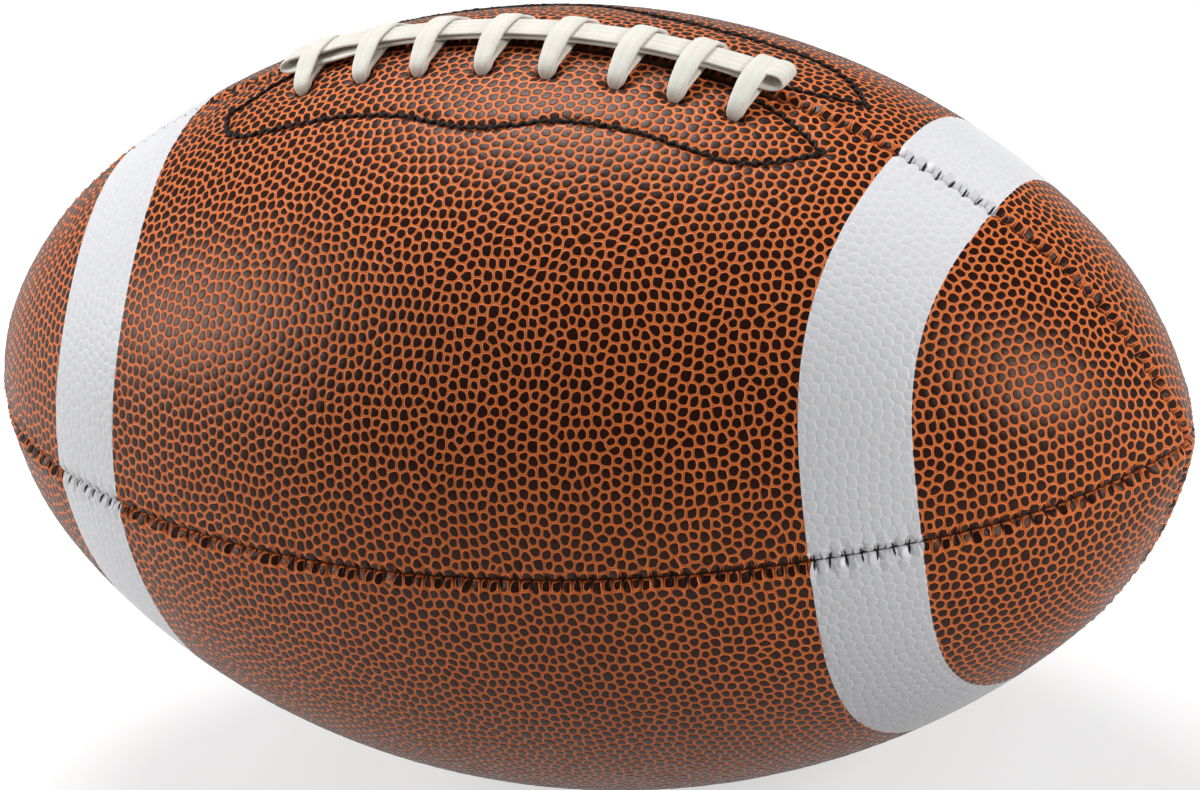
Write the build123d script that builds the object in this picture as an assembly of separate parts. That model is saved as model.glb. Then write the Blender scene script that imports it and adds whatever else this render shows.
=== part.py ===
"""American football: four sewn cover panels over an inflated bladder, closed by one lace.

The long axis lies along X and the lace is on top. The origin is the lowest point of the belly.
"""

import os
from math import atan2, cos, degrees, hypot, pi, radians, sin, sqrt

from build123d import *

os.makedirs("parts", exist_ok=True)

# Overall form, in millimetres and degrees
LENGTH = 282.0
DIAMETER = 171.0
TIP_RADIUS = 15.0
BELLY_ANGLE = 39.8  # lean of the surface normal where the belly arc meets the nose arc
NOSE_ANGLE = 75.6  # lean of the surface normal where the nose arc meets the tip arc

# Cover and what lies behind it
PANEL_THICKNESS = 2.4
LINING_THICKNESS = 0.8
LAYER_GAP = 0.1
SEAM_ALLOWANCE = 6.6  # depth of the panel edges turned inwards and sewn together
ALLOWANCE_THICKNESS = 1.6
LINING_EDGE_GAP = 0.3
VALLEY_DEPTH = 2.0
VALLEY_HALF_WIDTH = 2.2

# White stripes
STRIPE_FROM_TIP = 39.6  # along the long axis
STRIPE_WIDTH = 20.6  # along the long axis
STRIPE_THICKNESS = 0.3
STRIPE_GAP = 0.05

# Lacing
CROSS_COUNT = 8
CROSS_PITCH = 14.7
LACE_WIDTH = 6.8
LACE_THICKNESS = 1.2
HOLE_DISTANCE = 12.5  # from the seam to the middle of a lace hole, which holds two strands
HOLE_CLEARANCE = 0.2
SPINE_WIDTH = 8.0
SPINE_LAYERS = 2
LACE_BITE = 0.1  # how far strands that press on each other sink in
SLIT_HALF_WIDTH = 1.8
SLIT_OVERRUN = 6.0  # slit beyond the last cross
PASS_GAP = 0.3  # between the patches and the lace behind them
TONGUE_THICKNESS = 1.0
TONGUE_BESIDE_HOLES = 5.5

# Patches behind the lace holes
PATCH_THICKNESS = 1.0
PATCH_OVERRUN = 14.5  # stitched outline beyond the end of the slit
PATCH_BESIDE_HOLES = 12.8
PATCH_BULGE = 5.7  # swelling of the long side at its middle
PATCH_BULGE_HALF_LENGTH = 16.0
PATCH_BULGE_FOOT = 1.0
PATCH_CORNER_RUN = 6.0
PATCH_CORNER_DROP = 4.0
PATCH_SIDE_RUN = 16.0
PATCH_POINT = 12.0  # distance of the pointed ends from the seam
PATCH_NECK_RUN = 10.0
PATCH_NECK = 3.5
PATCH_MARGIN = 2.0  # patch outside its own stitching
PATCH_SLIT_GAP = 1.0

# Threads
THREAD_SIDES = 6
STITCH_PITCH = 3.4
STITCH_RADIUS = 0.35
STITCH_DEPTH = 0.6
STITCH_POST_RADIUS = 0.18  # thread between a stitch and the cord under it
SEAM_CORD_RADIUS = 0.26
SEAM_CORD_TIP_GAP = 3.0
THREAD_CLEARANCE = 0.05
ZIGZAG_PITCH = 2.4
ZIGZAG_SWING = 0.5
ZIGZAG_RADIUS = 0.3
ZIGZAG_GAP = 0.5  # left open at each end of a zigzag stitch

# Bladder and valve
BLADDER_WALL = 1.0
BLADDER_GAP = 0.3
LACING_ZONE_MARGIN = 4.0
VALVE_STEM_RADIUS = 4.0
VALVE_FLANGE_RADIUS = 11.0
VALVE_FLANGE_THICKNESS = 1.2
VALVE_RECESS = 0.3
VALVE_STEM_LENGTH = 9.0
VALVE_HOLE_CLEARANCE = 0.2
PLUG_RADIUS = 2.2
PLUG_CLEARANCE = 0.05
NEEDLE_BORE_RADIUS = 1.1

# Arcs of the long profile: belly, nose and tip meet tangent at the two given angles
LEAN_1 = radians(BELLY_ANGLE)
LEAN_2 = radians(NOSE_ANGLE)
RISE_1 = cos(LEAN_1) - 1
RISE_2 = cos(LEAN_2) - cos(LEAN_1)
RISE_SUM = TIP_RADIUS * cos(LEAN_2) - DIAMETER / 2
RUN_1 = sin(LEAN_1)
RUN_2 = sin(LEAN_2) - sin(LEAN_1)
RUN_SUM = LENGTH / 2 - TIP_RADIUS + TIP_RADIUS * sin(LEAN_2)
ARC_DETERMINANT = RISE_1 * RUN_2 - RISE_2 * RUN_1
BELLY_RADIUS = (RISE_SUM * RUN_2 - RISE_2 * RUN_SUM) / ARC_DETERMINANT
NOSE_RADIUS = (RISE_1 * RUN_SUM - RISE_SUM * RUN_1) / ARC_DETERMINANT
BELLY_CENTRE = (0.0, DIAMETER / 2 - BELLY_RADIUS)
NOSE_CENTRE = (
    (BELLY_RADIUS - NOSE_RADIUS) * sin(LEAN_1),
    BELLY_CENTRE[1] + (BELLY_RADIUS - NOSE_RADIUS) * cos(LEAN_1),
)
TIP_CENTRE = (LENGTH / 2 - TIP_RADIUS, 0.0)
QUARTER_TURN = pi / 2

# Depths below the outer surface
LINING_TOP = PANEL_THICKNESS + LAYER_GAP
LINING_BOTTOM = LINING_TOP + LINING_THICKNESS
PATCH_TOP = LINING_BOTTOM + LAYER_GAP
PATCH_BOTTOM = PATCH_TOP + PATCH_THICKNESS
LOBE_TOP = LINING_BOTTOM + BLADDER_GAP
CORE_TOP = SEAM_ALLOWANCE + BLADDER_GAP
HOLE_OUTER = HOLE_DISTANCE + LACE_THICKNESS
HOLE_DROP = DIAMETER / 2 - sqrt((DIAMETER / 2) ** 2 - HOLE_OUTER**2)  # fall of the surface there
PASS_TOP = PATCH_BOTTOM + HOLE_DROP + PASS_GAP
PASS_BOTTOM = PASS_TOP + LACE_THICKNESS
TONGUE_TOP = PASS_BOTTOM + PASS_GAP + LAYER_GAP
TONGUE_BOTTOM = TONGUE_TOP + TONGUE_THICKNESS
LACING_CORE_TOP = TONGUE_BOTTOM + BLADDER_GAP
WALL_SLOPE = hypot(VALLEY_HALF_WIDTH, VALLEY_DEPTH) / VALLEY_HALF_WIDTH
SEAM_CORD_DEPTH = VALLEY_DEPTH - (SEAM_CORD_RADIUS + THREAD_CLEARANCE) * WALL_SLOPE

# Heights above the outer surface
UNDER_STRAND_BOTTOM = 2 * ZIGZAG_RADIUS + THREAD_CLEARANCE + LAYER_GAP
UNDER_STRAND_TOP = UNDER_STRAND_BOTTOM + LACE_THICKNESS
SPINE_BOTTOM = UNDER_STRAND_TOP - LACE_BITE
SPINE_TOP = SPINE_BOTTOM + SPINE_LAYERS * LACE_THICKNESS
CROSS_BOTTOM = SPINE_TOP - LACE_BITE
OUTSIDE = CROSS_BOTTOM + 2 * LACE_THICKNESS  # clear of everything on the surface
FAR = LENGTH + DIAMETER

# Stripes are set out from the tips
STRIPE_OUTER_X = LENGTH / 2 - STRIPE_FROM_TIP
STRIPE_INNER_X = STRIPE_OUTER_X - STRIPE_WIDTH

# Stitches reach across the seam valley at their own depth
STITCH_UNDERSIDE = STITCH_DEPTH + STITCH_RADIUS
STITCH_HALF_LENGTH = VALLEY_HALF_WIDTH * (1 - STITCH_UNDERSIDE / VALLEY_DEPTH) - THREAD_CLEARANCE

# Lacing layout
LAST_CROSS_X = CROSS_PITCH * (CROSS_COUNT - 1) / 2
CROSS_XS = [CROSS_PITCH * i - LAST_CROSS_X for i in range(CROSS_COUNT)]
SLIT_HALF_LENGTH = LAST_CROSS_X + SLIT_OVERRUN
TONGUE_HALF_WIDTH = HOLE_DISTANCE + TONGUE_BESIDE_HOLES
PATCH_REACH = SLIT_HALF_LENGTH + PATCH_OVERRUN
PATCH_SHOULDER = HOLE_DISTANCE + PATCH_BESIDE_HOLES
PATCH_CROWN = PATCH_SHOULDER + PATCH_BULGE
ZONE_HALF_LENGTH = PATCH_REACH + PATCH_MARGIN + LACING_ZONE_MARGIN
ZONE_HALF_WIDTH = PATCH_CROWN + PATCH_MARGIN + LACING_ZONE_MARGIN


def arc_at(lean):
    """Centre and radius of the profile arc where the normal leans by lean, either way."""
    if abs(lean) <= LEAN_1:
        return BELLY_CENTRE, BELLY_RADIUS
    if abs(lean) <= LEAN_2:
        return NOSE_CENTRE, NOSE_RADIUS
    return TIP_CENTRE, TIP_RADIUS


def point_on(arc, lean, offset):
    """Point of a profile arc, moved inwards by offset, where the normal leans by lean."""
    centre, radius = arc
    side = 1 if lean >= 0 else -1
    reach = radius - offset
    x = side * centre[0] + reach * sin(lean)
    return Vector(x, 0, centre[1] + reach * cos(lean))


def rim_point(lean, offset):
    """Point of the long profile, moved inwards by offset, where the normal leans by lean."""
    return point_on(arc_at(lean), lean, offset)


def rim_arcs(offset, start=-QUARTER_TURN, end=QUARTER_TURN):
    """Arcs of the profile between two leans of the normal, in the XZ plane."""
    joints = [a for a in (-LEAN_2, -LEAN_1, LEAN_1, LEAN_2) if start < a < end]
    stops = [start, *joints, end]
    arcs = []
    for first, last in zip(stops, stops[1:]):
        middle = (first + last) / 2
        arc = arc_at(middle)
        points = [point_on(arc, lean, offset) for lean in (first, middle, last)]
        arcs.append(ThreePointArc(*points))
    return arcs


def lean_at(x):
    """Lean of the surface normal at a place along the long axis."""
    turn = abs(x)
    if turn <= BELLY_RADIUS * sin(LEAN_1):
        lean = atan2(turn, sqrt(BELLY_RADIUS**2 - turn**2))
    else:
        run = turn - NOSE_CENTRE[0]
        lean = atan2(run, sqrt(NOSE_RADIUS**2 - run**2))
    return lean if x >= 0 else -lean


def radius_at(x):
    """Radius of the outer surface at a place along the long axis."""
    return rim_point(lean_at(x), 0).Z


def arc_length(lean):
    """Length along the profile from the middle of the belly to a lean of the normal."""
    nose_turn = min(max(lean - LEAN_1, 0), LEAN_2 - LEAN_1)
    tip_turn = max(lean - LEAN_2, 0)
    return BELLY_RADIUS * min(lean, LEAN_1) + NOSE_RADIUS * nose_turn + TIP_RADIUS * tip_turn


def lean_after(length):
    """Lean of the normal at a length along the profile from the middle of the belly."""
    belly_length = arc_length(LEAN_1)
    nose_length = arc_length(LEAN_2)
    if length <= belly_length:
        return length / BELLY_RADIUS
    if length <= nose_length:
        return LEAN_1 + (length - belly_length) / NOSE_RADIUS
    return LEAN_2 + (length - nose_length) / TIP_RADIUS


def band(outer, inner):
    """Face between two depths of the profile, above the long axis in the XZ plane."""
    outer_arcs = rim_arcs(outer)
    inner_arcs = rim_arcs(inner)
    left = Line(outer_arcs[0] @ 0, inner_arcs[0] @ 0)
    right = Line(outer_arcs[-1] @ 1, inner_arcs[-1] @ 1)
    return Face(Wire([*outer_arcs, right, *inner_arcs, left]))


def spindle(offset):
    """Whole solid inside the profile at a depth."""
    arcs = rim_arcs(offset)
    axis_line = Line(arcs[-1] @ 1, arcs[0] @ 0)
    return revolve(Face(Wire([*arcs, axis_line])), Axis.X, 360)


def quarter_layer(outer, inner, edge=0.0):
    """Shell between two depths over the front upper quarter, held back from both seams."""
    layer = revolve(band(outer, inner), Axis.X, 90)
    if edge > 0:
        layer = layer & Pos(0, -FAR / 2 - edge, FAR / 2 + edge) * Box(FAR, FAR, FAR)
    return layer


def slab_between(x_start, x_end):
    """Block that keeps only what lies between two places along the long axis."""
    return Pos((x_start + x_end) / 2, 0, 0) * Box(x_end - x_start, FAR, FAR)


def around(part, quarter):
    """Part turned about the long axis by a number of quarters, from front upper downwards."""
    return Rot(90 * quarter, 0, 0) * part


def on_surface(x):
    """Frame on the top of the ball: origin on the surface, Z along the normal, Y across."""
    return Pos(x, 0, radius_at(x)) * Rot(0, degrees(lean_at(x)), 0)


def valley_tool():
    """V-shaped cut along the top seam, from tip to tip."""
    shallow = band(-OUTSIDE, 0)
    deep = band(-OUTSIDE, VALLEY_DEPTH)
    near = Pos(0, -VALLEY_HALF_WIDTH, 0) * shallow
    far = Pos(0, VALLEY_HALF_WIDTH, 0) * shallow
    return loft([near, deep, far], ruled=True)


def plain_panel(valley):
    """Front upper cover panel: shell, edges turned inwards on both seams, stripe recesses."""
    panel = quarter_layer(0, PANEL_THICKNESS)
    allowance = band(PANEL_THICKNESS / 2, SEAM_ALLOWANCE)
    panel += extrude(allowance, ALLOWANCE_THICKNESS, dir=(0, -1, 0))
    panel += extrude(around(allowance, 1), ALLOWANCE_THICKNESS, dir=(0, 0, 1))
    panel = panel & Pos(0, -FAR / 2, FAR / 2) * Box(FAR, FAR, FAR)
    recess = revolve(band(-OUTSIDE, STRIPE_THICKNESS + STRIPE_GAP), Axis.X, 90)
    start = STRIPE_INNER_X - STRIPE_GAP
    end = STRIPE_OUTER_X + STRIPE_GAP
    panel -= recess & slab_between(start, end)
    panel -= recess & slab_between(-end, -start)
    return panel - valley - around(valley, 1)


def lace_slots():
    """Slots for the legs of the lace through everything on the front side of the slit."""
    depth = PASS_BOTTOM + OUTSIDE
    slot = Box(
        LACE_WIDTH + 2 * HOLE_CLEARANCE,
        2 * LACE_THICKNESS + 2 * HOLE_CLEARANCE,
        depth,
    )
    middle = OUTSIDE - depth / 2
    return [on_surface(x) * Pos(0, -HOLE_DISTANCE, middle) * slot for x in CROSS_XS]


def lace_slit():
    """Opening along the top seam, where the edges aren't sewn together."""
    return Pos(0, 0, FAR / 2) * Box(2 * SLIT_HALF_LENGTH, 2 * SLIT_HALF_WIDTH, FAR)


def patch_outline(grow):
    """Wavy outline of the front lace patch, seen from above, grown on all sides but the slit's."""
    reach = PATCH_REACH + grow
    shoulder = PATCH_SHOULDER + grow
    slit_edge = SLIT_HALF_WIDTH + PATCH_SLIT_GAP
    point = (reach, -PATCH_POINT)
    half_side = [
        (0, -PATCH_CROWN - grow),
        (PATCH_BULGE_HALF_LENGTH, -shoulder - PATCH_BULGE_FOOT),
        (PATCH_REACH / 2, -shoulder),
        (PATCH_REACH - PATCH_SIDE_RUN, -shoulder),
        (reach - PATCH_CORNER_RUN, -shoulder + PATCH_CORNER_DROP),
        point,
    ]
    neck = (PATCH_REACH - PATCH_NECK_RUN, -slit_edge - PATCH_NECK)
    corner = (LAST_CROSS_X, -slit_edge)
    outer = Spline(*[(-x, y) for x, y in reversed(half_side[1:])], *half_side)
    right = Spline(point, neck, corner)
    left = Spline((-corner[0], corner[1]), (-neck[0], neck[1]), (-point[0], point[1]))
    inner = Line(corner, (-corner[0], corner[1]))
    return Wire([outer, right, inner, left])


def lace_patch(slots):
    """Front reinforcing patch, sewn behind the lace holes."""
    edge = SLIT_HALF_WIDTH
    layer = quarter_layer(PATCH_TOP, PATCH_BOTTOM, edge)
    prism = extrude(Face(patch_outline(PATCH_MARGIN)), FAR, dir=(0, 0, 1))
    return (layer & prism) - slots


def patch_stitching():
    """Zigzag thread along the patch outline, lying on the front upper panel."""
    outline = patch_outline(0)
    count = 2 * round(outline.length / ZIGZAG_PITCH / 2)
    points = []
    for i in range(count):
        place = outline @ (i / count)
        along = outline % (i / count)
        swing = ZIGZAG_SWING if i % 2 else -ZIGZAG_SWING
        x = place.X - swing * along.Y
        y = place.Y + swing * along.X
        lift = radius_at(x) + ZIGZAG_RADIUS + THREAD_CLEARANCE
        points.append(Vector(x, y, sqrt(lift**2 - y**2)))
    stitches = []
    for first, last in zip(points, points[1:] + points[:1]):
        span = last - first
        length = span.length - ZIGZAG_GAP
        frame = Plane(origin=(first + last) / 2, z_dir=span)
        stitches.append(frame * Cylinder(ZIGZAG_RADIUS, length))
    return stitches


def lace_strand(leg_middle, crest_bottom):
    """One strand across the seam with its two legs, in the frame on the surface."""
    outer = leg_middle + LACE_THICKNESS / 2
    inner = leg_middle - LACE_THICKNESS / 2
    foot = -PASS_BOTTOM
    crest_top = crest_bottom + LACE_THICKNESS
    drop = sqrt((DIAMETER / 2) ** 2 - inner**2) - DIAMETER / 2 + LAYER_GAP
    outline = [
        Line((0, -outer, foot), (0, -outer, drop)),
        ThreePointArc((0, -outer, drop), (0, 0, crest_top), (0, outer, drop)),
        Line((0, outer, drop), (0, outer, foot)),
        Line((0, outer, foot), (0, inner, foot)),
        Line((0, inner, foot), (0, inner, drop)),
        ThreePointArc((0, inner, drop), (0, 0, crest_bottom), (0, -inner, drop)),
        Line((0, -inner, drop), (0, -inner, foot)),
        Line((0, -inner, foot), (0, -outer, foot)),
    ]
    return extrude(Face(Wire(outline)), LACE_WIDTH / 2, dir=(1, 0, 0), both=True)


def lace_pass(x_from, x_to):
    """Hidden run of the lace from a rear leg to the next front leg."""
    depth = -(PASS_TOP + PASS_BOTTOM) / 2
    start = (on_surface(x_from) * Pos(0, HOLE_DISTANCE, depth)).position
    end = (on_surface(x_to) * Pos(0, -HOLE_DISTANCE, depth)).position
    span = end - start
    lean = (lean_at(x_from) + lean_at(x_to)) / 2
    normal = Vector(sin(lean), 0, cos(lean))
    frame = Plane(origin=(start + end) / 2, x_dir=span, z_dir=span.cross(normal).cross(span))
    return frame * Box(span.length, LACE_WIDTH, LACE_THICKNESS)


def lace_spine():
    """Doubled run of the lace along the slit, with a folded loop at each end."""
    layers = band(-SPINE_TOP, -SPINE_BOTTOM)
    spine = extrude(layers, SPINE_WIDTH / 2, dir=(0, 1, 0), both=True)
    spine = spine & Pos(0, 0, FAR / 2) * Box(2 * SLIT_HALF_LENGTH, FAR, FAR)
    loop_radius = (SPINE_TOP - UNDER_STRAND_BOTTOM) / 2
    loop = Cylinder(loop_radius, SPINE_WIDTH, rotation=(90, 0, 0))
    hole = Cylinder(loop_radius - LACE_THICKNESS, FAR, rotation=(90, 0, 0))
    height = SPINE_TOP - loop_radius
    ends = [on_surface(x) * Pos(0, 0, height) for x in (-SLIT_HALF_LENGTH, SLIT_HALF_LENGTH)]
    spine += [end * loop for end in ends]
    return spine - [end * hole for end in ends]


def whole_lace():
    """The lace as one strand: over and under the spine at each hole pair, and hidden runs."""
    half = LACE_THICKNESS / 2
    over = lace_strand(HOLE_DISTANCE + half, CROSS_BOTTOM)
    under = lace_strand(HOLE_DISTANCE - half, UNDER_STRAND_BOTTOM)
    strands = [on_surface(x) * strand for x in CROSS_XS for strand in (over, under)]
    passes = [lace_pass(a, b) for a, b in zip(CROSS_XS, CROSS_XS[1:])]
    return lace_spine() + strands + passes


def lace_tongue():
    """Strip that keeps the lace off the bladder."""
    strip = revolve(band(TONGUE_TOP, TONGUE_BOTTOM), Axis.X, 180)
    strip = Rot(-90, 0, 0) * strip
    return strip & Pos(0, 0, FAR / 2) * Box(2 * PATCH_REACH, 2 * TONGUE_HALF_WIDTH, FAR)


def seam_thread(start, end):
    """Thread along the top seam between two lengths from the middle: cord, posts and stitches."""
    first = lean_after(start) if start >= 0 else -lean_after(-start)
    last = lean_after(end)
    path = Wire(rim_arcs(SEAM_CORD_DEPTH, first, last))
    section = Plane(origin=path @ 0, z_dir=path % 0) * RegularPolygon(SEAM_CORD_RADIUS, THREAD_SIDES)
    thread = sweep(section, path)
    count = int((end - start - STITCH_PITCH) / STITCH_PITCH)
    lead = (end - start - count * STITCH_PITCH) / 2
    across = Rot(90, 0, 0) * RegularPolygon(STITCH_RADIUS, THREAD_SIDES)
    bar = extrude(across, STITCH_HALF_LENGTH, dir=(0, 1, 0), both=True)
    upright = RegularPolygon(STITCH_POST_RADIUS, THREAD_SIDES)
    post = extrude(upright, SEAM_CORD_DEPTH - STITCH_DEPTH, dir=(0, 0, -1))
    stitches = []
    for i in range(count + 1):
        length = start + lead + i * STITCH_PITCH
        lean = lean_after(abs(length)) if length >= 0 else -lean_after(abs(length))
        place = rim_point(lean, STITCH_DEPTH)
        frame = Pos(place) * Rot(0, degrees(lean), 0)
        stitches += [frame * bar, frame * post]
    return thread + stitches


def lobed(lobe, half_gap, core, lacing_core, zone_growth):
    """Four lobes between the turned-in seams, joined at a core that dips under the lacing."""
    gap = 2 * half_gap
    lobes = spindle(lobe) - Box(FAR, gap, FAR) - Box(FAR, FAR, gap)
    length = 2 * (ZONE_HALF_LENGTH + zone_growth)
    width = 2 * (ZONE_HALF_WIDTH + zone_growth)
    zone = Pos(0, 0, FAR / 2) * Box(length, width, FAR)
    dip = zone & (spindle(-OUTSIDE) - spindle(lacing_core))
    return (lobes + spindle(core)) - dip


def bladder(valve_frame):
    """Hollow air bladder, pressed into the spaces between the seams."""
    half_gap = ALLOWANCE_THICKNESS + LINING_EDGE_GAP
    outside = lobed(LOBE_TOP, half_gap, CORE_TOP, LACING_CORE_TOP, 0)
    inside = lobed(
        LOBE_TOP + BLADDER_WALL,
        half_gap + BLADDER_WALL,
        CORE_TOP + BLADDER_WALL,
        LACING_CORE_TOP + BLADDER_WALL,
        BLADDER_WALL,
    )
    stem_hole = valve_frame * Cylinder(VALVE_STEM_RADIUS + PLUG_CLEARANCE, 2 * VALVE_STEM_LENGTH)
    return outside - inside - stem_hole


def valve_body(valve_frame):
    """Rubber valve: stem through the cover and a round flange inside the bladder."""
    top = LOBE_TOP + BLADDER_WALL + PLUG_CLEARANCE
    layer = around(quarter_layer(top, top + VALVE_FLANGE_THICKNESS), -1)
    flange = layer & valve_frame * Cylinder(VALVE_FLANGE_RADIUS, 2 * VALVE_STEM_LENGTH)
    drop = -VALVE_RECESS - VALVE_STEM_LENGTH / 2
    stem = valve_frame * Pos(0, 0, drop) * Cylinder(VALVE_STEM_RADIUS, VALVE_STEM_LENGTH)
    bore = valve_frame * Cylinder(PLUG_RADIUS, 4 * VALVE_STEM_LENGTH)
    return flange + stem - bore


def valve_plug(valve_frame):
    """Soft core of the valve, with the bore for an inflating needle."""
    drop = -VALVE_RECESS - VALVE_STEM_LENGTH / 2
    core = Cylinder(PLUG_RADIUS - PLUG_CLEARANCE, VALVE_STEM_LENGTH)
    bore = Cylinder(NEEDLE_BORE_RADIUS, 2 * VALVE_STEM_LENGTH)
    return valve_frame * Pos(0, 0, drop) * (core - bore)


def save(name, part):
    """Write one node, lifted so that the belly rests on the ground plane."""
    solids = part if isinstance(part, list) else part.solids()
    placed = [Pos(0, 0, DIAMETER / 2) * solid for solid in solids]
    export_step(placed[0] if len(placed) == 1 else Compound(placed), f"parts/{name}.step")


QUARTERS = ["front_upper", "front_lower", "rear_lower", "rear_upper"]
MIRROR_REAR = Plane.XZ
VALVE_FRAME = Rot(-45, 0, 0) * Pos(0, 0, DIAMETER / 2)

valley = valley_tool()
slots = lace_slots()
slit = lace_slit()
valve_hole = VALVE_FRAME * Cylinder(VALVE_STEM_RADIUS + VALVE_HOLE_CLEARANCE, 2 * VALVE_STEM_LENGTH)

# Cover panels, with the lace holes and the slit in the upper two and the valve hole in one
panel = plain_panel(valley)
upper_panel = panel - slots - slit
save("cover_panel_front_upper", upper_panel)
save("cover_panel_rear_upper", mirror(upper_panel, MIRROR_REAR) - valve_hole)
save("cover_panel_front_lower", around(panel, 1))
save("cover_panel_rear_lower", around(panel, 2))

# Linings behind the panels
lining = quarter_layer(LINING_TOP, LINING_BOTTOM, ALLOWANCE_THICKNESS + LINING_EDGE_GAP)
upper_lining = lining - slots
save("panel_lining_front_upper", upper_lining)
save("panel_lining_rear_upper", mirror(upper_lining, MIRROR_REAR) - valve_hole)
save("panel_lining_front_lower", around(lining, 1))
save("panel_lining_rear_lower", around(lining, 2))

# White stripes, one piece on each panel at each end
stripe_layer = quarter_layer(0, STRIPE_THICKNESS, VALLEY_HALF_WIDTH)
stripe_right = stripe_layer & slab_between(STRIPE_INNER_X, STRIPE_OUTER_X)
stripe_left = stripe_layer & slab_between(-STRIPE_OUTER_X, -STRIPE_INNER_X)
for quarter, place in enumerate(QUARTERS):
    save(f"stripe_left_{place}", around(stripe_left, quarter))
    save(f"stripe_right_{place}", around(stripe_right, quarter))

# Lacing
front_patch = lace_patch(slots)
save("lace_patch_front", front_patch)
save("lace_patch_rear", mirror(front_patch, MIRROR_REAR))
front_stitching = patch_stitching()
save("patch_stitching_front", front_stitching)
save("patch_stitching_rear", [mirror(stitch, MIRROR_REAR) for stitch in front_stitching])
save("lace", whole_lace())
save("lace_tongue", lace_tongue())

# Seam threads
full_length = arc_length(QUARTER_TURN) - SEAM_CORD_TIP_GAP
slit_end = arc_length(lean_at(SLIT_HALF_LENGTH)) + STITCH_PITCH
full_thread = seam_thread(-full_length, full_length)
for quarter, place in enumerate(["front", "bottom", "rear"], start=1):
    save(f"seam_thread_{place}", around(full_thread, quarter))
top_thread = seam_thread(slit_end, full_length)
save("seam_thread_top_right", top_thread)
save("seam_thread_top_left", mirror(top_thread, Plane.YZ))

# Bladder and valve
save("bladder", bladder(VALVE_FRAME))
save("valve_body", valve_body(VALVE_FRAME))
save("valve_plug", valve_plug(VALVE_FRAME))
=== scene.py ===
"""American football: pebbled cover, stripes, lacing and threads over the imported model.

The long axis lies along X, the lace is on top and the belly rests on the floor at the origin.
A place on the cover is given by its length along the profile from the middle, its turn about
the long axis from the top towards the front, and its height above the surface.
"""

import math

import bmesh
import bpy
import numpy as np
from mathutils import Matrix, Vector
from mathutils.geometry import delaunay_2d_cdt


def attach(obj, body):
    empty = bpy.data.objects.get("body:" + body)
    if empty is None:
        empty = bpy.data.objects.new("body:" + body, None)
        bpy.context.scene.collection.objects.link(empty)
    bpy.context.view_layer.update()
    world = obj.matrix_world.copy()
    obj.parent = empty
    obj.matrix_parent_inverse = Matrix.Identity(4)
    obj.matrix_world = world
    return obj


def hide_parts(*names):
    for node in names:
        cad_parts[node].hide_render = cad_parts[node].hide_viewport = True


bl_info = {
    "name": "American Football",
    "version": (1, 0, 0),
    "blender": (4, 5, 0),
    "location": "View3D > Sidebar > Football",
    "description": "Builds the cover, stripes, lacing, threads and stage of an american football",
    "category": "Object",
}

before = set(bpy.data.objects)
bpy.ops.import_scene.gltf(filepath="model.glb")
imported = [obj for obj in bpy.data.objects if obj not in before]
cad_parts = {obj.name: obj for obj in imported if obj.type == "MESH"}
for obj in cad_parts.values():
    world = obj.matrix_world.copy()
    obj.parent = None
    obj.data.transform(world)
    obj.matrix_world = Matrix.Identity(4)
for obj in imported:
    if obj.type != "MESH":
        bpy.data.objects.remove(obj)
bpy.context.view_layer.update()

MM = 0.001
QUARTER = math.pi / 2
IMAGE_WIDTH = 1200
SENSOR_WIDTH = 36.0
# Grey and glow of the floor, and strength of the light from all round
FLOOR_GREY = 0.44
FLOOR_GLOW = 0.62
ROUND_LIGHT = 0.22

# Points round a strand of lace and round a thread, rings along each, and the step of a seam's cord
STRAND_SIDES = 20
THREAD_SIDES = 8
CROSS_RINGS = 56
SPINE_RINGS = 360
STITCH_RINGS = 11
BEAD_RINGS = 8
CORD_STEP = 1.6 * MM
# Steps in the table of the long profile, between two knots of a smooth line, and to measure one
PROFILE_STEPS = 8001
FINE_STEPS = 60
MEASURE_STEPS = 200
# First numbers of the random draws
COVER_SEED = 41
SEAM_SEED = 7
PATCH_SEED = 19
# Ends of the cover and of the seam threads, short of the very tips
TIP_GAP = 0.8 * MM
THREAD_GAP = 1.2 * MM
# Middle and width of the hollow behind a tip, in reaches of the tip
HOLLOW_PLACE = 3.4
HOLLOW_WIDTH = 1.7
# Rows of pebbles and the random shift in them, in pitches
ROW_STEP = 0.866
SEED_SHIFT = 0.4
# How far pebbles are mirrored past a seam, in pitches, and past a tip, in the chart
SEAM_MIRROR = 3
TIP_MIRROR = 5
# From the edge of a hole to the pebbles round it
HOLE_RING = 1.15 * MM
# Outline of a pebble: weight of its corners and of its sides, and range of its unevenness
PEBBLE_CORNER = 0.12
PEBBLE_SIDE = 0.9
PEBBLE_UNEVEN = (0.93, 1.05)
# Most that a pebble stands higher or lower than the others, in millimetres
PEBBLE_SWELL = 0.04
# Smallest foot and top of a pebble, as shares of its cell, and place of the foot in its height
LEAST_FOOT = 0.3
LEAST_TOP = 0.2
FOOT_DEPTH = 0.55
# Wider grooves along a seam: how much wider, and how far from it
SEAM_GROOVE = 0.8
SEAM_GROOVE_REACH = 2 * MM
# Pucker of a seam between stitches, and reach of its swollen and drawn-in leather, in rolls
PUCKER = 0.22
SWELL_REACH = 0.6
DRAWN_REACH = 1.7
# Height of the stripes' pebbles as a share of the others'
STRIPE_RELIEF = 0.5
# Radius of the valve hole and depth of the fold at a panel's open edge
VALVE_HOLE = 4.2 * MM
TURN_IN = 3.0 * MM
# Depth and width of the dimples round a lace hole and along the patch stitching
HOLE_DIMPLE = (0.55 * MM, 1.5 * MM)
STITCH_DIMPLE = (0.6 * MM, 1.1 * MM)
# Part of an upper panel in which the patch stitching lies
PATCH_LENGTH = 80 * MM
PATCH_WIDTH = 36 * MM
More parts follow.
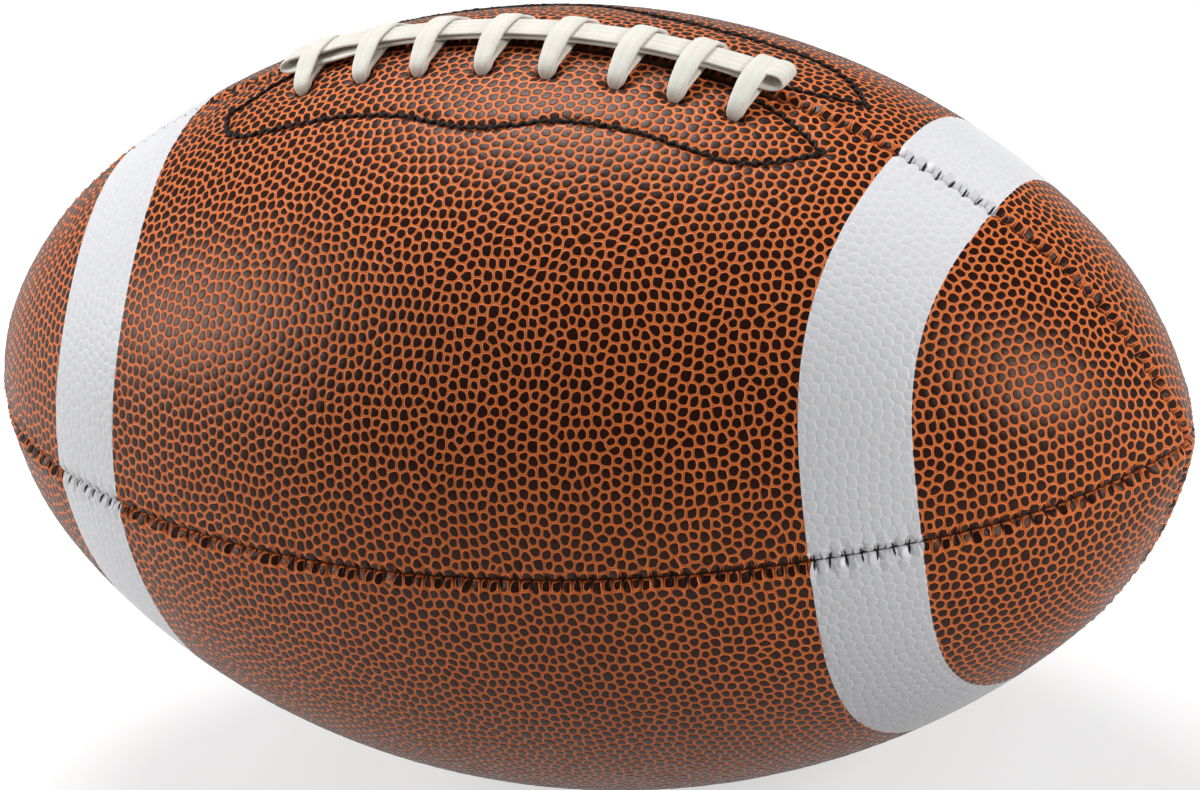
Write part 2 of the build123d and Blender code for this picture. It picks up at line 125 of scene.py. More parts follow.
# Grain value of a flat top, and its share in the shading of a pebble
TOP_GRAIN = 0.99
FLAT_SHARE = 0.75
# Radius of the ball under which the pucker of its seams fades
PUCKER_RADIUS = 10 * MM
# Ends of the slit under the lace: length over which it opens, and width of the leather pushed aside
SLIT_FADE = 6 * MM
SLIT_PUSH = 9 * MM
# Strength and reach of the painted shade along the slit, round a lace hole and along a panel's edge
SLIT_SHADE = (1.1, 1.5 * MM)
HOLE_SHADE = (0.9, 1.2 * MM)
EDGE_SHADE = (0.95, 0.35 * MM)
# Free margin round a panel that is laid out flat, as a share of its sheet
SHEET_MARGIN = 0.01
# Closest points that count as two
TOLERANCE = 1e-7
# Section of a strand of lace: squareness of its sides and of its faces
SQUARE_SIDES = 0.5
SQUARE_FACES = 0.8
# Heights of a strand over the leather: start and length of its spread, rounding and tuck
SPREAD_START = 0.8 * MM
SPREAD_RISE = 3 * MM
ROUND_START = -1.4 * MM
ROUND_RISE = 2.4 * MM
TUCK_START = -0.2 * MM
TUCK_RISE = 1.4 * MM
# Spread of a strand under the spine, and least share of a strand's rounded end
UNDER_SPREAD = 0.4
ROUND_LEAST = 0.03
# Gap between the lace slit and the seam threads, and least radius for the place of a stitch
SLIT_GAP = 2 * MM
LEAST_RADIUS = 1.5 * MM
# Blunt end of a stitch as a share of its radius, and taper of seam and patch stitches
BLUNT_END = 0.06
STITCH_TAPER = 0.9
BEAD_TAPER = 0.42
# Rise of a seam stitch over the grooves, and ranges of its lean and stretch
STITCH_RISE = 0.32 * MM
STITCH_LEAN = (-0.2, 0.2)
STITCH_STRETCH = (0.86, 1.1)
# Depth and flatness of the patch stitches, and ranges of their lean and, in millimetres, of their shifts
BEAD_DEPTH = 0.16 * MM
BEAD_FLATNESS = 0.9
BEAD_LEAN = (0.4, 0.75)
BEAD_ASIDE = (-0.14, 0.14)
BEAD_LIFT = (-0.1, 0.1)

# Panels: turn of the seam they are set out from, way they turn from there, and flip end to end
PANELS = {
    "front_upper": (0.0, 1, 1),
    "rear_upper": (0.0, -1, -1),
    "front_lower": (math.pi, -1, -1),
    "rear_lower": (math.pi, 1, 1),
}
# Colours of pebbled leather, in the order in which its node group takes them: pebble, its rim with painted
# shade, groove, its foot with a painted highlight, and painted shade at holes, slit and seams
SKIN_COLOURS = ("Pebble", "Shaded rim", "Groove", "Foot highlight", "Painted shade")
# Seams: turn about the long axis
SEAMS = {
    "top_right": 0.0,
    "top_left": 0.0,
    "front": QUARTER,
    "bottom": math.pi,
    "rear": -QUARTER,
}
# Outline of a lace patch in millimetres: place along X and distance from the top seam
PATCH_NECK_LEFT = [(-52.0, 3.0), (-59.8, 5.6), (-63.7, 9.6), (-66.7, 12.4), (-69.6, 13.4)]
PATCH_SIDE = [
    (-69.6, 13.4), (-67.4, 19.2), (-61.5, 24.3), (-50.0, 25.8), (-34.6, 26.1),
    (-19.2, 27.6), (-5.8, 30.5), (0.5, 30.9), (7.0, 29.5), (17.8, 26.3),
    (32.8, 24.9), (47.4, 24.9), (55.5, 24.6), (63.7, 20.8), (72.6, 11.0),
]
PATCH_NECK_RIGHT = [(71.6, 12.0), (67.5, 9.3), (60.0, 5.9), (51.5, 3.6)]
# Lace strands in millimetres, front to rear: distance from the seam and height over the leather there
STRAND_OVER = [
    (-12.7, -3.2), (-12.85, -0.8), (-12.5, 0.75), (-11.3, 1.85), (-8.8, 2.95),
    (-5.8, 4.05), (-3.2, 4.5), (0.0, 4.6), (2.8, 4.4), (4.9, 3.8),
    (7.2, 2.6), (9.6, 1.5), (11.4, 0.5), (12.1, -0.8), (12.1, -3.2),
]
STRAND_UNDER = [
    (-12.0, -3.2), (-11.9, -0.6), (-10.8, 0.7), (-8.0, 0.85), (-4.0, 0.95), (0.0, 1.1),
    (4.0, 0.95), (8.0, 0.85), (10.8, 0.7), (11.9, -0.6), (12.0, -3.2),
]
# Lace spine in millimetres: place along X, distance to the rear, and height over the leather
SPINE_RIGHT = [
    (38.8, 0, 2.35), (46.0, 0, 2.3), (51.0, -0.4, 2.1), (54.8, -0.8, 1.8), (57.3, -0.6, 2.3), (58.3, 0, 3.5),
    (57.3, 0.2, 4.8), (55.0, 0.2, 4.9), (52.2, 0, 3.75), (46.0, 0, 3.4), (38.0, 0, 3.4),
]
SPINE_UPPER = [
    (25.0, 0, 3.4), (9.0, 0, 3.4), (-6.0, 0, 3.4), (-21.0, 0, 3.4), (-30.0, 0, 3.4),
    (-36.0, 0.1, 3.5), (-43.0, 0.3, 3.9),
]
SPINE_LEFT = [
    (-50.4, 0.2, 3.6), (-55.0, 0, 4.1), (-57.6, -0.4, 3.8), (-58.6, -0.9, 2.9), (-57.4, -1.3, 2.0),
    (-54.8, -1.7, 1.75), (-50.0, -1.8, 1.8), (-43.0, -1.5, 2.0), (-38.0, -0.8, 2.15),
]
SPINE_LOWER = [
    (-33.0, -0.3, 2.3), (-21.0, 0, 2.35), (-6.0, 0, 2.35), (9.0, 0, 2.35), (25.0, 0, 2.35), (38.8, 0, 2.35),
]


def size(name, description, millimetres):
    """Length that a user may change, given in millimetres."""
    return bpy.props.FloatProperty(
        name=name,
        description=description,
        default=millimetres * MM,
        precision=5,
        unit="LENGTH",
        subtype="DISTANCE",
    )


def angle(name, description, degrees):
    """Angle that a user may change, given in degrees."""
    return bpy.props.FloatProperty(
        name=name,
        description=description,
        default=math.radians(degrees),
        unit="ROTATION",
        subtype="ANGLE",
    )


def colour(name, description, rgb):
    """Colour that a user may change, in linear light."""
    return bpy.props.FloatVectorProperty(
        name=name,
        description=description,
        default=rgb,
        size=3,
        min=0.0,
        max=1.0,
        subtype="COLOR",
    )


class BallForm(bpy.types.PropertyGroup):
    """Outer form of the ball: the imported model's, with raised tips, puckered seams and bowed stripes."""

    length: size("Length", "Tip to tip", 282.0)
    diameter: size("Diameter", "Across the middle", 171.0)
    tip_radius: size("Tip radius", "Rounding of the tips", 15.0)
    tip_rise: size("Tip rise", "Rise of a sewn tip over its rounding", 1.3)
    tip_reach: size("Tip reach", "Length of the rise at a tip", 10.0)
    tip_hollow: size("Tip hollow", "Depth of the hollow behind a tip", 0.5)
    belly_angle: angle("Belly angle", "Lean of the surface where belly meets nose", 39.8)
    nose_angle: angle("Nose angle", "Lean of the surface where nose meets tip", 75.6)
    valley_depth: size("Seam depth", "Depth of the rolled panel edges at a seam", 1.8)
    valley_width: size("Seam roll", "Width of a rolled panel edge", 2.4)
    lip: size("Seam lip", "Swell of the leather between two stitches", 0.38)
    stripe_inner: size("Stripe inner edge", "Distance of a stripe from the middle", 80.1)
    stripe_outer: size("Stripe outer edge", "Distance of a stripe's far edge from the middle", 100.8)
    stripe_bow: size("Stripe bow", "How much further out the stripes lie at the seams", 2.6)
    stripe_lean: size("Stripe lean", "How much further out the stripes lie on top", 1.0)


class CoverGrain(bpy.types.PropertyGroup):
    """Pebbles of the cover and their colours."""

    pitch: size("Pebble pitch", "From pebble to pebble", 2.62)
    groove: size("Groove width", "Half the width of a groove between pebbles", 0.195)
    shoulder: size("Shoulder", "Rounded edge of a pebble", 0.14)
    depth: size("Pebble height", "Height of a pebble over its groove", 0.2)
    rounds: bpy.props.IntProperty(
        name="Evenness", description="Rounds of evening out the pebbles' places", default=7, min=0
    )
    top: colour("Pebble", "Colour of the pebbles", (0.020, 0.0038, 0.0020))
    # Painted shade: darker colour on the rounded edge of each pebble's top
    rim: colour("Pebble shaded rim", "Painted shade on the pebbles' edges", (0.014, 0.0028, 0.0015))
    ground: colour("Groove", "Colour between the pebbles", (0.70, 0.148, 0.026))
    # Painted highlight: lighter colour along the foot of each pebble, where the groove's edge catches the
    # light
    foot: colour("Pebble foot highlight", "Painted highlight along the foot of the pebbles", (0.90, 0.26, 0.08))
    # Painted shade: dark colour at the lace holes, along the slit and in the seams
    painted_shade: colour("Painted shade", "Painted shade at lace holes, the slit and seam edges", (0.03, 0.013, 0.009))
    shine: colour("Shine", "Tint of the brown leather's shine", (1.0, 0.66, 0.55))
    white: colour("Stripe", "Colour of the stripes", (0.73, 0.742, 0.78))
    # Painted shade of a stripe down in its seams
    white_painted_shade: colour("Stripe painted shade", "Colour of a stripe in its seams", (0.50, 0.50, 0.51))
    white_ground: colour("Stripe groove", "Colour between the stripes' pebbles", (0.76, 0.75, 0.765))
    # Painted highlight along the foot of the stripes' pebbles
    white_foot_highlight: colour("Stripe foot highlight", "Painted highlight along the foot of the stripes' pebbles", (0.83, 0.81, 0.82))


class LaceForm(bpy.types.PropertyGroup):
    """Lacing along the top seam."""

    crosses: bpy.props.FloatVectorProperty(
        name="Crosses",
        description="Places of the strands along the ball, in millimetres",
        default=(-50.4, -35.7, -21.5, -6.0, 9.2, 25.2, 38.8, 52.2),
        size=8,
    )
    skew: angle("Lace skew", "Turn of the lacing about the upright", 1.15)
    tilt: angle("Lace tilt", "Rise of the lacing towards its right end", 0.7)
    width: size("Lace width", "Width of a strand over the spine", 5.0)
    tip_width: size("Lace tip", "Width of a strand near its hole", 3.5)
    thickness: size("Lace thickness", "Thickness of a strand", 1.1)
    spine_width: size("Spine width", "Width of the run along the slit", 7.3)
    hole_distance: size("Hole distance", "From the seam to a lace hole", 12.5)
    hole_run: size("Hole run", "Half the straight length of a lace hole", 1.0)
    hole_radius: size("Hole radius", "Half the width of a lace hole", 1.2)
    slit_half_width: size("Slit", "Half the width of the opening under the spine", 1.1)
    slit_half_length: size("Slit length", "Half the length of the opening", 57.45)
    yarn: colour("Yarn", "Colour of the lace", (0.80, 0.78, 0.72))
    shade: colour("Yarn shade", "Colour between the yarns", (0.64, 0.58, 0.45))
    # Brown tint on the strands near and below where they go into their holes
    hole_tint: colour("Hole tint", "Brown tint of the lace near and in its holes", (0.42, 0.25, 0.14))


class ThreadForm(bpy.types.PropertyGroup):
    """Seam threads and the stitching round the lacing."""

    pitch: size("Stitch pitch", "From stitch to stitch along a seam", 3.4)
    reach: size("Stitch reach", "Half the length of a seam stitch", 1.9)
    radius: size("Stitch radius", "Half the thickness of a seam stitch", 0.28)
    cord_radius: size("Cord radius", "Half the thickness of the cord in a seam", 0.3)
    bead_pitch: size("Bead pitch", "From stitch to stitch round the lacing", 1.3)
    bead_length: size("Bead length", "Half the length of a stitch round the lacing", 0.95)
    bead_radius: size("Bead radius", "Half the thickness of a stitch round the lacing", 0.44)
    colour: colour("Thread", "Colour of the threads", (0.011, 0.0075, 0.006))


class StageForm(bpy.types.PropertyGroup):
    """Camera, floor and light."""

    azimuth: angle("Azimuth", "Turn of the camera about the upright", 28.687)
    elevation: angle("Elevation", "Height of the camera over the horizon", 25.593)
    roll: angle("Roll", "Turn of the camera about its view", -8.835)
    distance: size("Distance", "From the camera to the ball", 2277.5)
    slide_right: size("Slide right", "Ball to the right of the picture's middle", -2.91)
    slide_up: size("Slide up", "Ball above the picture's middle", -0.33)
    focal_pixels: bpy.props.FloatProperty(
        name="Focal length", description="In pixels of the photograph", default=10444.9
    )


def sums(values):
    """Running sums of values, from zero."""
    return np.concatenate([[0.0], np.cumsum(values)])


def lengths(line):
    """Length along a line of points, at each of them."""
    return sums(np.linalg.norm(np.diff(line, axis=0), axis=1))


def unit(ways):
    """Ways made one long."""
    return ways / np.linalg.norm(ways, axis=1)[:, None]


def share(value):
    """Value held between 0 and 1."""
    return np.clip(value, 0, 1)


def bell(distance, width):
    """Soft hill over a distance: 1 at its middle, about a third at its width."""
    return np.exp(-((distance / width) ** 2))


def circle(sides):
    """Turns of evenly spaced points round a circle."""
    return np.arange(sides) / sides * 2 * math.pi


def run_starts(numbers):
    """Places at which a run of equal numbers starts."""
    return np.concatenate([[0], np.flatnonzero(np.diff(numbers)) + 1])


class Profile:
    """Long profile of the ball: belly, nose and tip arcs that meet tangent."""

    def __init__(self, form):
        first, second = form.belly_angle, form.nose_angle
        half, radius, tip = form.length / 2, form.diameter / 2, form.tip_radius
        turns = [
            [math.cos(first) - 1, math.cos(second) - math.cos(first)],
            [math.sin(first), math.sin(second) - math.sin(first)],
        ]
        spans = [tip * math.cos(second) - radius, half - tip + tip * math.sin(second)]
        belly, nose = np.linalg.solve(turns, spans)
        self.form = form
        self.lift = radius
        self.radii = np.array([belly, nose, tip])
        self.leans = np.array([0.0, first, second])
        ends = np.array([first, second, QUARTER])
        self.starts = sums(self.radii * (ends - self.leans))
        self.centres = np.array(
            [
                [0.0, radius - belly],
                [(belly - nose) * math.sin(first), radius - belly + (belly - nose) * math.cos(first)],
                [half - tip, 0.0],
            ]
        )
        self.end = self.starts[3] - TIP_GAP
        self.run = np.linspace(-self.end, self.end, PROFILE_STEPS)
        steps = 1 / self.at(self.run)[1]
        widths = np.diff(self.run) * (steps[1:] + steps[:-1]) / 2
        self.chart = sums(widths)
        self.chart -= self.chart[-1] / 2

    def at(self, along):
        """Place along X, radius and lean of the surface at lengths along the profile."""
        length = np.minimum(np.abs(along), self.starts[3])
        arc = np.searchsorted(self.starts[1:3], length, side="right")
        lean = self.leans[arc] + (length - self.starts[arc]) / self.radii[arc]
        side = np.where(np.asarray(along) < 0, -1.0, 1.0)
        x = side * (self.centres[arc, 0] + self.radii[arc] * np.sin(lean))
        return x, self.centres[arc, 1] + self.radii[arc] * np.cos(lean), side * lean

    def along(self, x):
        """Length along the profile at places along X."""
        return np.interp(x, self.at(self.run)[0], self.run)

    def point(self, along, turn, height):
        """Points of the cover in the row frame."""
        x, radius, lean = self.at(along)
        height = height + self.tip_form(along)
        out = radius + height * np.cos(lean)
        return np.stack(
            [x + height * np.sin(lean), -out * np.sin(turn), out * np.cos(turn) + self.lift], axis=-1
        )

    def tip_form(self, along):
        """Rise of the cover at the sewn tips and the shallow hollow behind them."""
        reach = self.form.tip_reach
        way = self.end - np.abs(along)
        hollow = self.form.tip_hollow * bell(way - HOLLOW_PLACE * reach, HOLLOW_WIDTH * reach)
        return self.form.tip_rise * bell(way, reach) - hollow

    def to_chart(self, along):
        """Conformal chart of lengths along the profile, in which angles are true."""
        return np.interp(along, self.run, self.chart)

    def from_chart(self, chart):
        """Lengths along the profile from the conformal chart."""
        return np.interp(chart, self.chart, self.run)


def smooth_run(points, count):
    """Evenly spaced places on a smooth line through points given in millimetres."""
    knots = np.array(points) * MM
    times = sums(np.sqrt(np.linalg.norm(np.diff(knots, axis=0), axis=1)))
    slopes = np.gradient(knots, times, axis=0)
    fine = np.linspace(times[0], times[-1], FINE_STEPS * len(knots))
    k = np.clip(np.searchsorted(times, fine, side="right") - 1, 0, len(knots) - 2)
    width = (times[k + 1] - times[k])[:, None]
    u = (fine - times[k])[:, None] / width
    line = (
        knots[k] * (1 + 2 * u) * (1 - u) ** 2
        + slopes[k] * width * u * (1 - u) ** 2
        + knots[k + 1] * u**2 * (3 - 2 * u)
        + slopes[k + 1] * width * u**2 * (u - 1)
    )
    run = lengths(line)
    places = np.linspace(0, run[-1], count)
    return np.stack([np.interp(places, run, line[:, i]) for i in range(line.shape[1])], axis=1)


def patch_runs(step):
    """Stitched outline of a lace patch as three smooth runs that meet at its points."""
    runs = []
    for points in (PATCH_NECK_LEFT, PATCH_SIDE, PATCH_NECK_RIGHT):
        length = lengths(smooth_run(points, MEASURE_STEPS))[-1]
        runs.append(smooth_run(points, round(length / step) + 1))
    return runs


def lace_shift(lace, x):
    """Sideways place of the lacing at places along X."""
    return x * math.tan(lace.skew)


def slot_edge(run, radius, count):
    """Places on the edge of a rounded slot, evenly spaced, and the way out at each."""
    straight = 2 * run
    half = straight + math.pi * radius
    reach = (np.arange(count) + 0.5) / count * 2 * half
    part = reach % half
    flat = part < straight
    bend = (part - straight) / radius - QUARTER
    out = np.stack([np.where(flat, 0.0, np.cos(bend)), np.where(flat, -1.0, np.sin(bend))], axis=1)
    edge = np.stack([np.where(flat, part - run, run), np.zeros(count)], axis=1) + out * radius
    flip = np.where(reach < half, 1.0, -1.0)[:, None]
    return edge * flip, out * flip


class Pattern:
    """Pebbles of one panel: groove corners and the cells between them.

    Places are length along the profile and turn from the panel's first seam.
    """

    def __init__(self, profile, grain, holes, rng):
        self.profile = profile
        self.grain = grain
        self.holes = holes
        self.rng = rng
        free = self.loose_seeds()
        ring, self.ghosts = self.hole_seeds()
        keep = self.hole_distance(free) > 2 * HOLE_RING
        self.seeds = np.vstack([ring, free[keep]])
        for _ in range(grain.rounds):
            corners, numbers, owner = self.cells(sharp=1.0)
            self.seeds[len(ring) :] = self.middles(corners[numbers], owner)[len(ring) :]
        self.corners, self.cell_corners, self.owner = self.cells(sharp=0.5)

    def loose_seeds(self):
        """Rows of seeds over the whole panel, each moved a little at random."""
        pitch = self.grain.pitch
        rows = []
        for along in np.arange(-self.profile.end, self.profile.end, ROW_STEP * pitch):
            room = float(self.profile.at(along)[1]) * QUARTER
            count = max(1, round(room / pitch))
            place = (np.arange(count) + 0.5 + self.rng.uniform(-SEED_SHIFT, SEED_SHIFT, count)) / count
            shift = self.rng.uniform(-SEED_SHIFT, SEED_SHIFT, count) * pitch
            reach = np.clip(along + shift, -self.profile.end, self.profile.end)
            rows.append(np.stack([reach, QUARTER * place], axis=1))
        return np.vstack(rows)

    def middles(self, corners, owner):
        """Middle of the area of each cell, from its corners in order."""
        starts = run_starts(owner)
        after = np.arange(len(owner)) + 1
        after[np.concatenate([starts[1:], [len(owner)]]) - 1] = starts
        base = self.seeds[owner]
        here, there = corners - base, corners[after] - base
        area = here[:, 0] * there[:, 1] - here[:, 1] * there[:, 0]
        total = np.add.reduceat(area, starts)
        moved = np.add.reduceat((here + there) * area[:, None], starts) / (3 * total[:, None])
        middle = self.seeds.copy()
        middle[owner[starts]] += moved
        return middle

    def hole_seeds(self):
        """Seeds round each hole, and the ghosts inside it that end their cells at its edge."""
        ring, ghosts = [np.zeros((0, 2))], [np.zeros((0, 2))]
        for along, turn, run, radius in self.holes:
            around = 2 * math.pi * (radius + HOLE_RING) + 4 * run
            edge, out = slot_edge(run, radius, round(around / (2 * HOLE_RING)))
            scale = np.array([1.0, 1 / float(self.profile.at(along)[1])])
            ring.append((edge + out * HOLE_RING) * scale + (along, turn))
            ghosts.append((edge - out * HOLE_RING) * scale + (along, turn))
        return np.vstack(ring), np.vstack(ghosts)

    def hole_distance(self, places):
        """Distance of places from the nearest hole's edge."""
        nearest = np.full(len(places), 1.0)
        for along, turn, run, radius in self.holes:
            across = (places[:, 1] - turn) * self.profile.at(along)[1]
            beyond = np.maximum(np.abs(places[:, 0] - along) - run, 0)
            nearest = np.minimum(nearest, np.hypot(beyond, across) - radius)
        return nearest

    def cells(self, sharp):
        """Corners of all cells, then for each corner of each cell its number and its seed.

        Sharp is 1 for the true corners, and less for corners drawn towards the middle of their three seeds.
        """
        profile, count = self.profile, len(self.seeds)
        chart = np.stack([profile.to_chart(self.seeds[:, 0]), self.seeds[:, 1]], axis=1)
        inside = np.stack([profile.to_chart(self.ghosts[:, 0]), self.ghosts[:, 1]], axis=1)
        reach = SEAM_MIRROR * self.grain.pitch / profile.at(self.seeds[:, 0])[1]
        first = chart[chart[:, 1] < reach] * (1, -1)
        last = chart[chart[:, 1] > QUARTER - reach] * (1, -1) + (0, math.pi)
        sides = np.vstack([chart, inside, first, last])
        tips = []
        for end in (profile.chart[0], profile.chart[-1]):
            near = np.abs(sides[:, 0] - end) < TIP_MIRROR
            tips.append(sides[near] * (-1, 1) + (2 * end, 0))
        points = np.vstack([sides, *tips])
        found = delaunay_2d_cdt([Vector(p) for p in points], [], [], 0, TOLERANCE)
        source = np.array([s[0] for s in found[3]])
        corners_of = source[np.array(found[2])]
        a, b, c = (points[corners_of[:, i]] for i in range(3))
        ab, ac = b - a, c - a
        cross = 2 * (ab[:, 0] * ac[:, 1] - ab[:, 1] * ac[:, 0])
        bb, cc = (ab**2).sum(1), (ac**2).sum(1)
        round_middle = a + np.stack(
            [ac[:, 1] * bb - ab[:, 1] * cc, ab[:, 0] * cc - ac[:, 0] * bb], axis=1
        ) / cross[:, None]
        flat_middle = (a + b + c) / 3
        inner = (corners_of < count).all(axis=1)[:, None]
        corner = np.where(inner, flat_middle + sharp * (round_middle - flat_middle), round_middle)
        seed = corners_of.ravel()
        number = np.repeat(np.arange(len(corners_of)), 3)
        way = np.repeat(flat_middle, 3, axis=0) - points[seed]
        order = np.lexsort((np.arctan2(way[:, 1], way[:, 0]), seed))
        order = order[seed[order] < count]
        places = np.stack([profile.from_chart(corner[:, 0]), corner[:, 1]], axis=1)
        return places, number[order], seed[order]


def pebble_mesh(pattern):
    """Places, heights, grain and tone of a panel's vertices, and its faces.

    Each pebble has its groove corners, a rounded foot of twice as many points, and a flat top.
    """
    profile, grain = pattern.profile, pattern.grain
    used, numbers = np.unique(pattern.cell_corners, return_inverse=True)
    places = [pattern.corners[used]]
    heights = [np.full(len(used), -grain.depth)]
    grains = [np.zeros(len(used))]
    tones = [np.full(len(used), 0.5)]
    total = len(used)
    faces = []
    starts = run_starts(pattern.owner)
    sides = np.diff(np.concatenate([starts, [len(pattern.owner)]]))
    for side in np.unique(sides):
        first = starts[sides == side]
        owner = pattern.owner[first]
        ids = numbers[first[:, None] + np.arange(side)]
        corner = places[0][ids]
        scale = np.stack([np.ones(len(first)), profile.at(pattern.seeds[owner, 0])[1]], axis=1)
        middle = corner.mean(axis=1)
        spread = (corner - middle[:, None]) * scale[:, None]
        between = (spread + np.roll(spread, -1, axis=1)) / 2
        outline = np.empty((len(first), 2 * side, 2))
        outline[:, 0::2] = spread
        outline[:, 1::2] = between
        far = np.linalg.norm(outline, axis=2)
        reach = far.copy()
        beside = (far[:, 1::2] + np.roll(far[:, 1::2], 1, axis=1)) / 2
        reach[:, 0::2] = PEBBLE_CORNER * far[:, 0::2] + PEBBLE_SIDE * beside
        reach *= pattern.rng.uniform(*PEBBLE_UNEVEN, reach.shape)
        round_turn = pattern.seeds[owner, 1]
        seam = scale[:, 1] * np.minimum(round_turn, QUARTER - round_turn)
        groove = grain.groove * (1 + SEAM_GROOVE * bell(seam, SEAM_GROOVE_REACH))[:, None]
        tone = pattern.rng.uniform(0, 1, len(first))
        swell = pattern.rng.uniform(-PEBBLE_SWELL, PEBBLE_SWELL, len(first)) * MM
        foot = np.maximum((reach - groove) / far, LEAST_FOOT)
        top = np.maximum((reach - groove - grain.shoulder) / far, LEAST_TOP)
        rings = ((foot, -FOOT_DEPTH * grain.depth, 0.5, 1), (top, 0.0, 1.0, 2))
        ring_ids = []
        for factor, height, level, step in rings:
            ring = outline * factor[..., None]
            ring = middle[:, None] + ring / scale[:, None]
            ring = ring[:, ::step]
            amount = ring.shape[1]
            ring_ids.append(total + np.arange(len(first) * amount).reshape(len(first), amount))
            total += len(first) * amount
            places.append(ring.reshape(-1, 2))
            heights.append(np.repeat(height + swell * level, amount))
            grains.append(np.full(len(first) * amount, level))
            tones.append(np.repeat(tone, amount))
        foot_ids, top_ids = ring_ids
        for i in range(side):
            after = (i + 1) % side
            foot_run = [foot_ids[:, (2 * i + k) % (2 * side)] for k in range(3)]
            faces += np.stack(
                [ids[:, i], ids[:, after], foot_run[2], foot_run[1], foot_run[0]], axis=1
            ).tolist()
            faces += np.stack([foot_run[0], foot_run[1], top_ids[:, i]], axis=1).tolist()
            faces += np.stack([foot_run[1], top_ids[:, after], top_ids[:, i]], axis=1).tolist()
            faces += np.stack([foot_run[1], foot_run[2], top_ids[:, after]], axis=1).tolist()
        faces += top_ids.tolist()
    return np.vstack(places), np.concatenate(heights), np.concatenate(grains), np.concatenate(tones), faces


def seam_drop(form, distance, swing):
    """Depth of a panel's surface near a seam, rounded over like folded leather.

    Swing is 1 between two stitches, where the leather swells, and -1 at a stitch, where it is drawn in.
    """
    width = form.valley_width
    inside = share(1 - distance / (width * (1 - PUCKER * swing)))
    fall = form.valley_depth * (1 - np.sqrt(1 - inside**2))
    swell = form.lip * (1 + swing) / 2 * bell(distance / width - 1, SWELL_REACH)
    drawn = form.lip * ((1 - swing) / 2) ** 2 * share(1 - distance / (DRAWN_REACH * width))
    return fall - swell + drawn


def painted_shade_fade(distance, strength, reach):
    """Painted shade of leather near an edge, fading over its reach."""
    return np.clip(strength - distance / reach, 0, min(strength, 1.0))


def distance_to_line(points, line):
    """Distance of points from a line of short straight runs."""
    nearest = np.full(len(points), 1.0)
    for start, end in zip(line[:-1], line[1:]):
        way = end - start
        reach = share(((points - start) @ way) / (way @ way))
        nearest = np.minimum(nearest, np.linalg.norm(points - start - reach[:, None] * way, axis=1))
    return nearest


def add_object(name, data):
    """Object in the scene."""
    made = bpy.data.objects.new(name, data)
    bpy.context.scene.collection.objects.link(made)
    return made


def read(items, key, kind=np.float32, width=1):
    """Values of all items of a mesh, in rows where each has more than one."""
    values = np.zeros(len(items) * width, kind)
    items.foreach_get(key, values)
    return values.reshape(-1, width) if width > 1 else values


def new_mesh(name, points, faces, values=None):
    """Mesh object in the row frame with float values on its points."""
    mesh = bpy.data.meshes.new(name)
    mesh.from_pydata(np.asarray(points).tolist(), [], faces)
    for key, value in (values or {}).items():
        layer = mesh.attributes.new(key, "FLOAT", "POINT")
        layer.data.foreach_set("value", np.asarray(value, np.float32))
    mesh.validate()
    mesh.shade_smooth()
    return add_object(name, mesh)


def dress(piece, material, slot_name, *nodes):
    """Finish of a piece, the body that it rides on and the solids that it stands for."""
    piece.data.materials.append(material)
    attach(piece, "root")
    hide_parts(*nodes)


class Nodes:
    """Short way to place and join the nodes of a tree."""

    def __init__(self, tree):
        self.tree = tree

    def add(self, kind, inputs=None, **settings):
        """Node with its settings, then its inputs as values or as sockets to join."""
        made = self.tree.nodes.new(kind)
        for key, value in settings.items():
            setattr(made, key, value)
        for key, value in (inputs or {}).items():
            self.set(made.inputs[key], value)
        return made

    def set(self, socket, value):
        """Value of an input, or the output that feeds it."""
        if isinstance(value, bpy.types.NodeSocket):
            self.tree.links.new(value, socket)
        elif hasattr(value, "__len__") and len(value) == 3 and socket.type == "RGBA":
            socket.default_value = (*value, 1.0)
        else:
            socket.default_value = value

    def attribute(self, name):
        """Float value stored on the points of a mesh."""
        return self.add("ShaderNodeAttribute", attribute_name=name).outputs["Fac"]

    def step(self, value, low, high):
        """Soft step from 0 at low to 1 at high."""
        inputs = {"Value": value, "From Min": low, "From Max": high}
        made = self.add("ShaderNodeMapRange", inputs, interpolation_type="SMOOTHSTEP")
        return made.outputs["Result"]

    def span(self, value, low, high):
        """Value from 0 to 1 spread over a range."""
        inputs = {"Value": value, "To Min": low, "To Max": high}
        return self.add("ShaderNodeMapRange", inputs).outputs["Result"]

    def math(self, operation, *values):
        """Sum, product or other step on values."""
        made = self.add("ShaderNodeMath", operation=operation)
        for socket, value in zip(made.inputs, values):
            self.set(socket, value)
        return made.outputs["Value"]

    def mix(self, amount, first, second):
        """Colour between two colours."""
        made = self.add("ShaderNodeMix", {0: amount, 6: first, 7: second}, data_type="RGBA")
        return made.outputs[2]

    def scale(self, tint, factor):
        """Colour made lighter or darker by a value."""
        made = self.add("ShaderNodeVectorMath", {"Vector": tint, "Scale": factor}, operation="SCALE")
        return made.outputs["Vector"]

    def noise(self, scale, detail=2.0, roughness=0.5):
        """Cloudy value over the object's own space."""
        place = self.add("ShaderNodeTexCoord").outputs["Object"]
        inputs = {"Vector": place, "Scale": scale, "Detail": detail, "Roughness": roughness}
        return self.add("ShaderNodeTexNoise", inputs).outputs["Fac"]

    def finish(self, shader, tint, rough, height, distance, strength=1.0):
        """Joins colour, roughness and fine relief to a material's shader."""
        relief = {"Height": height, "Distance": distance, "Strength": strength}
        bump = self.add("ShaderNodeBump", relief)
        self.set(shader.inputs["Base Color"], tint)
        self.set(shader.inputs["Roughness"], rough)
        self.set(shader.inputs["Normal"], bump.outputs["Normal"])


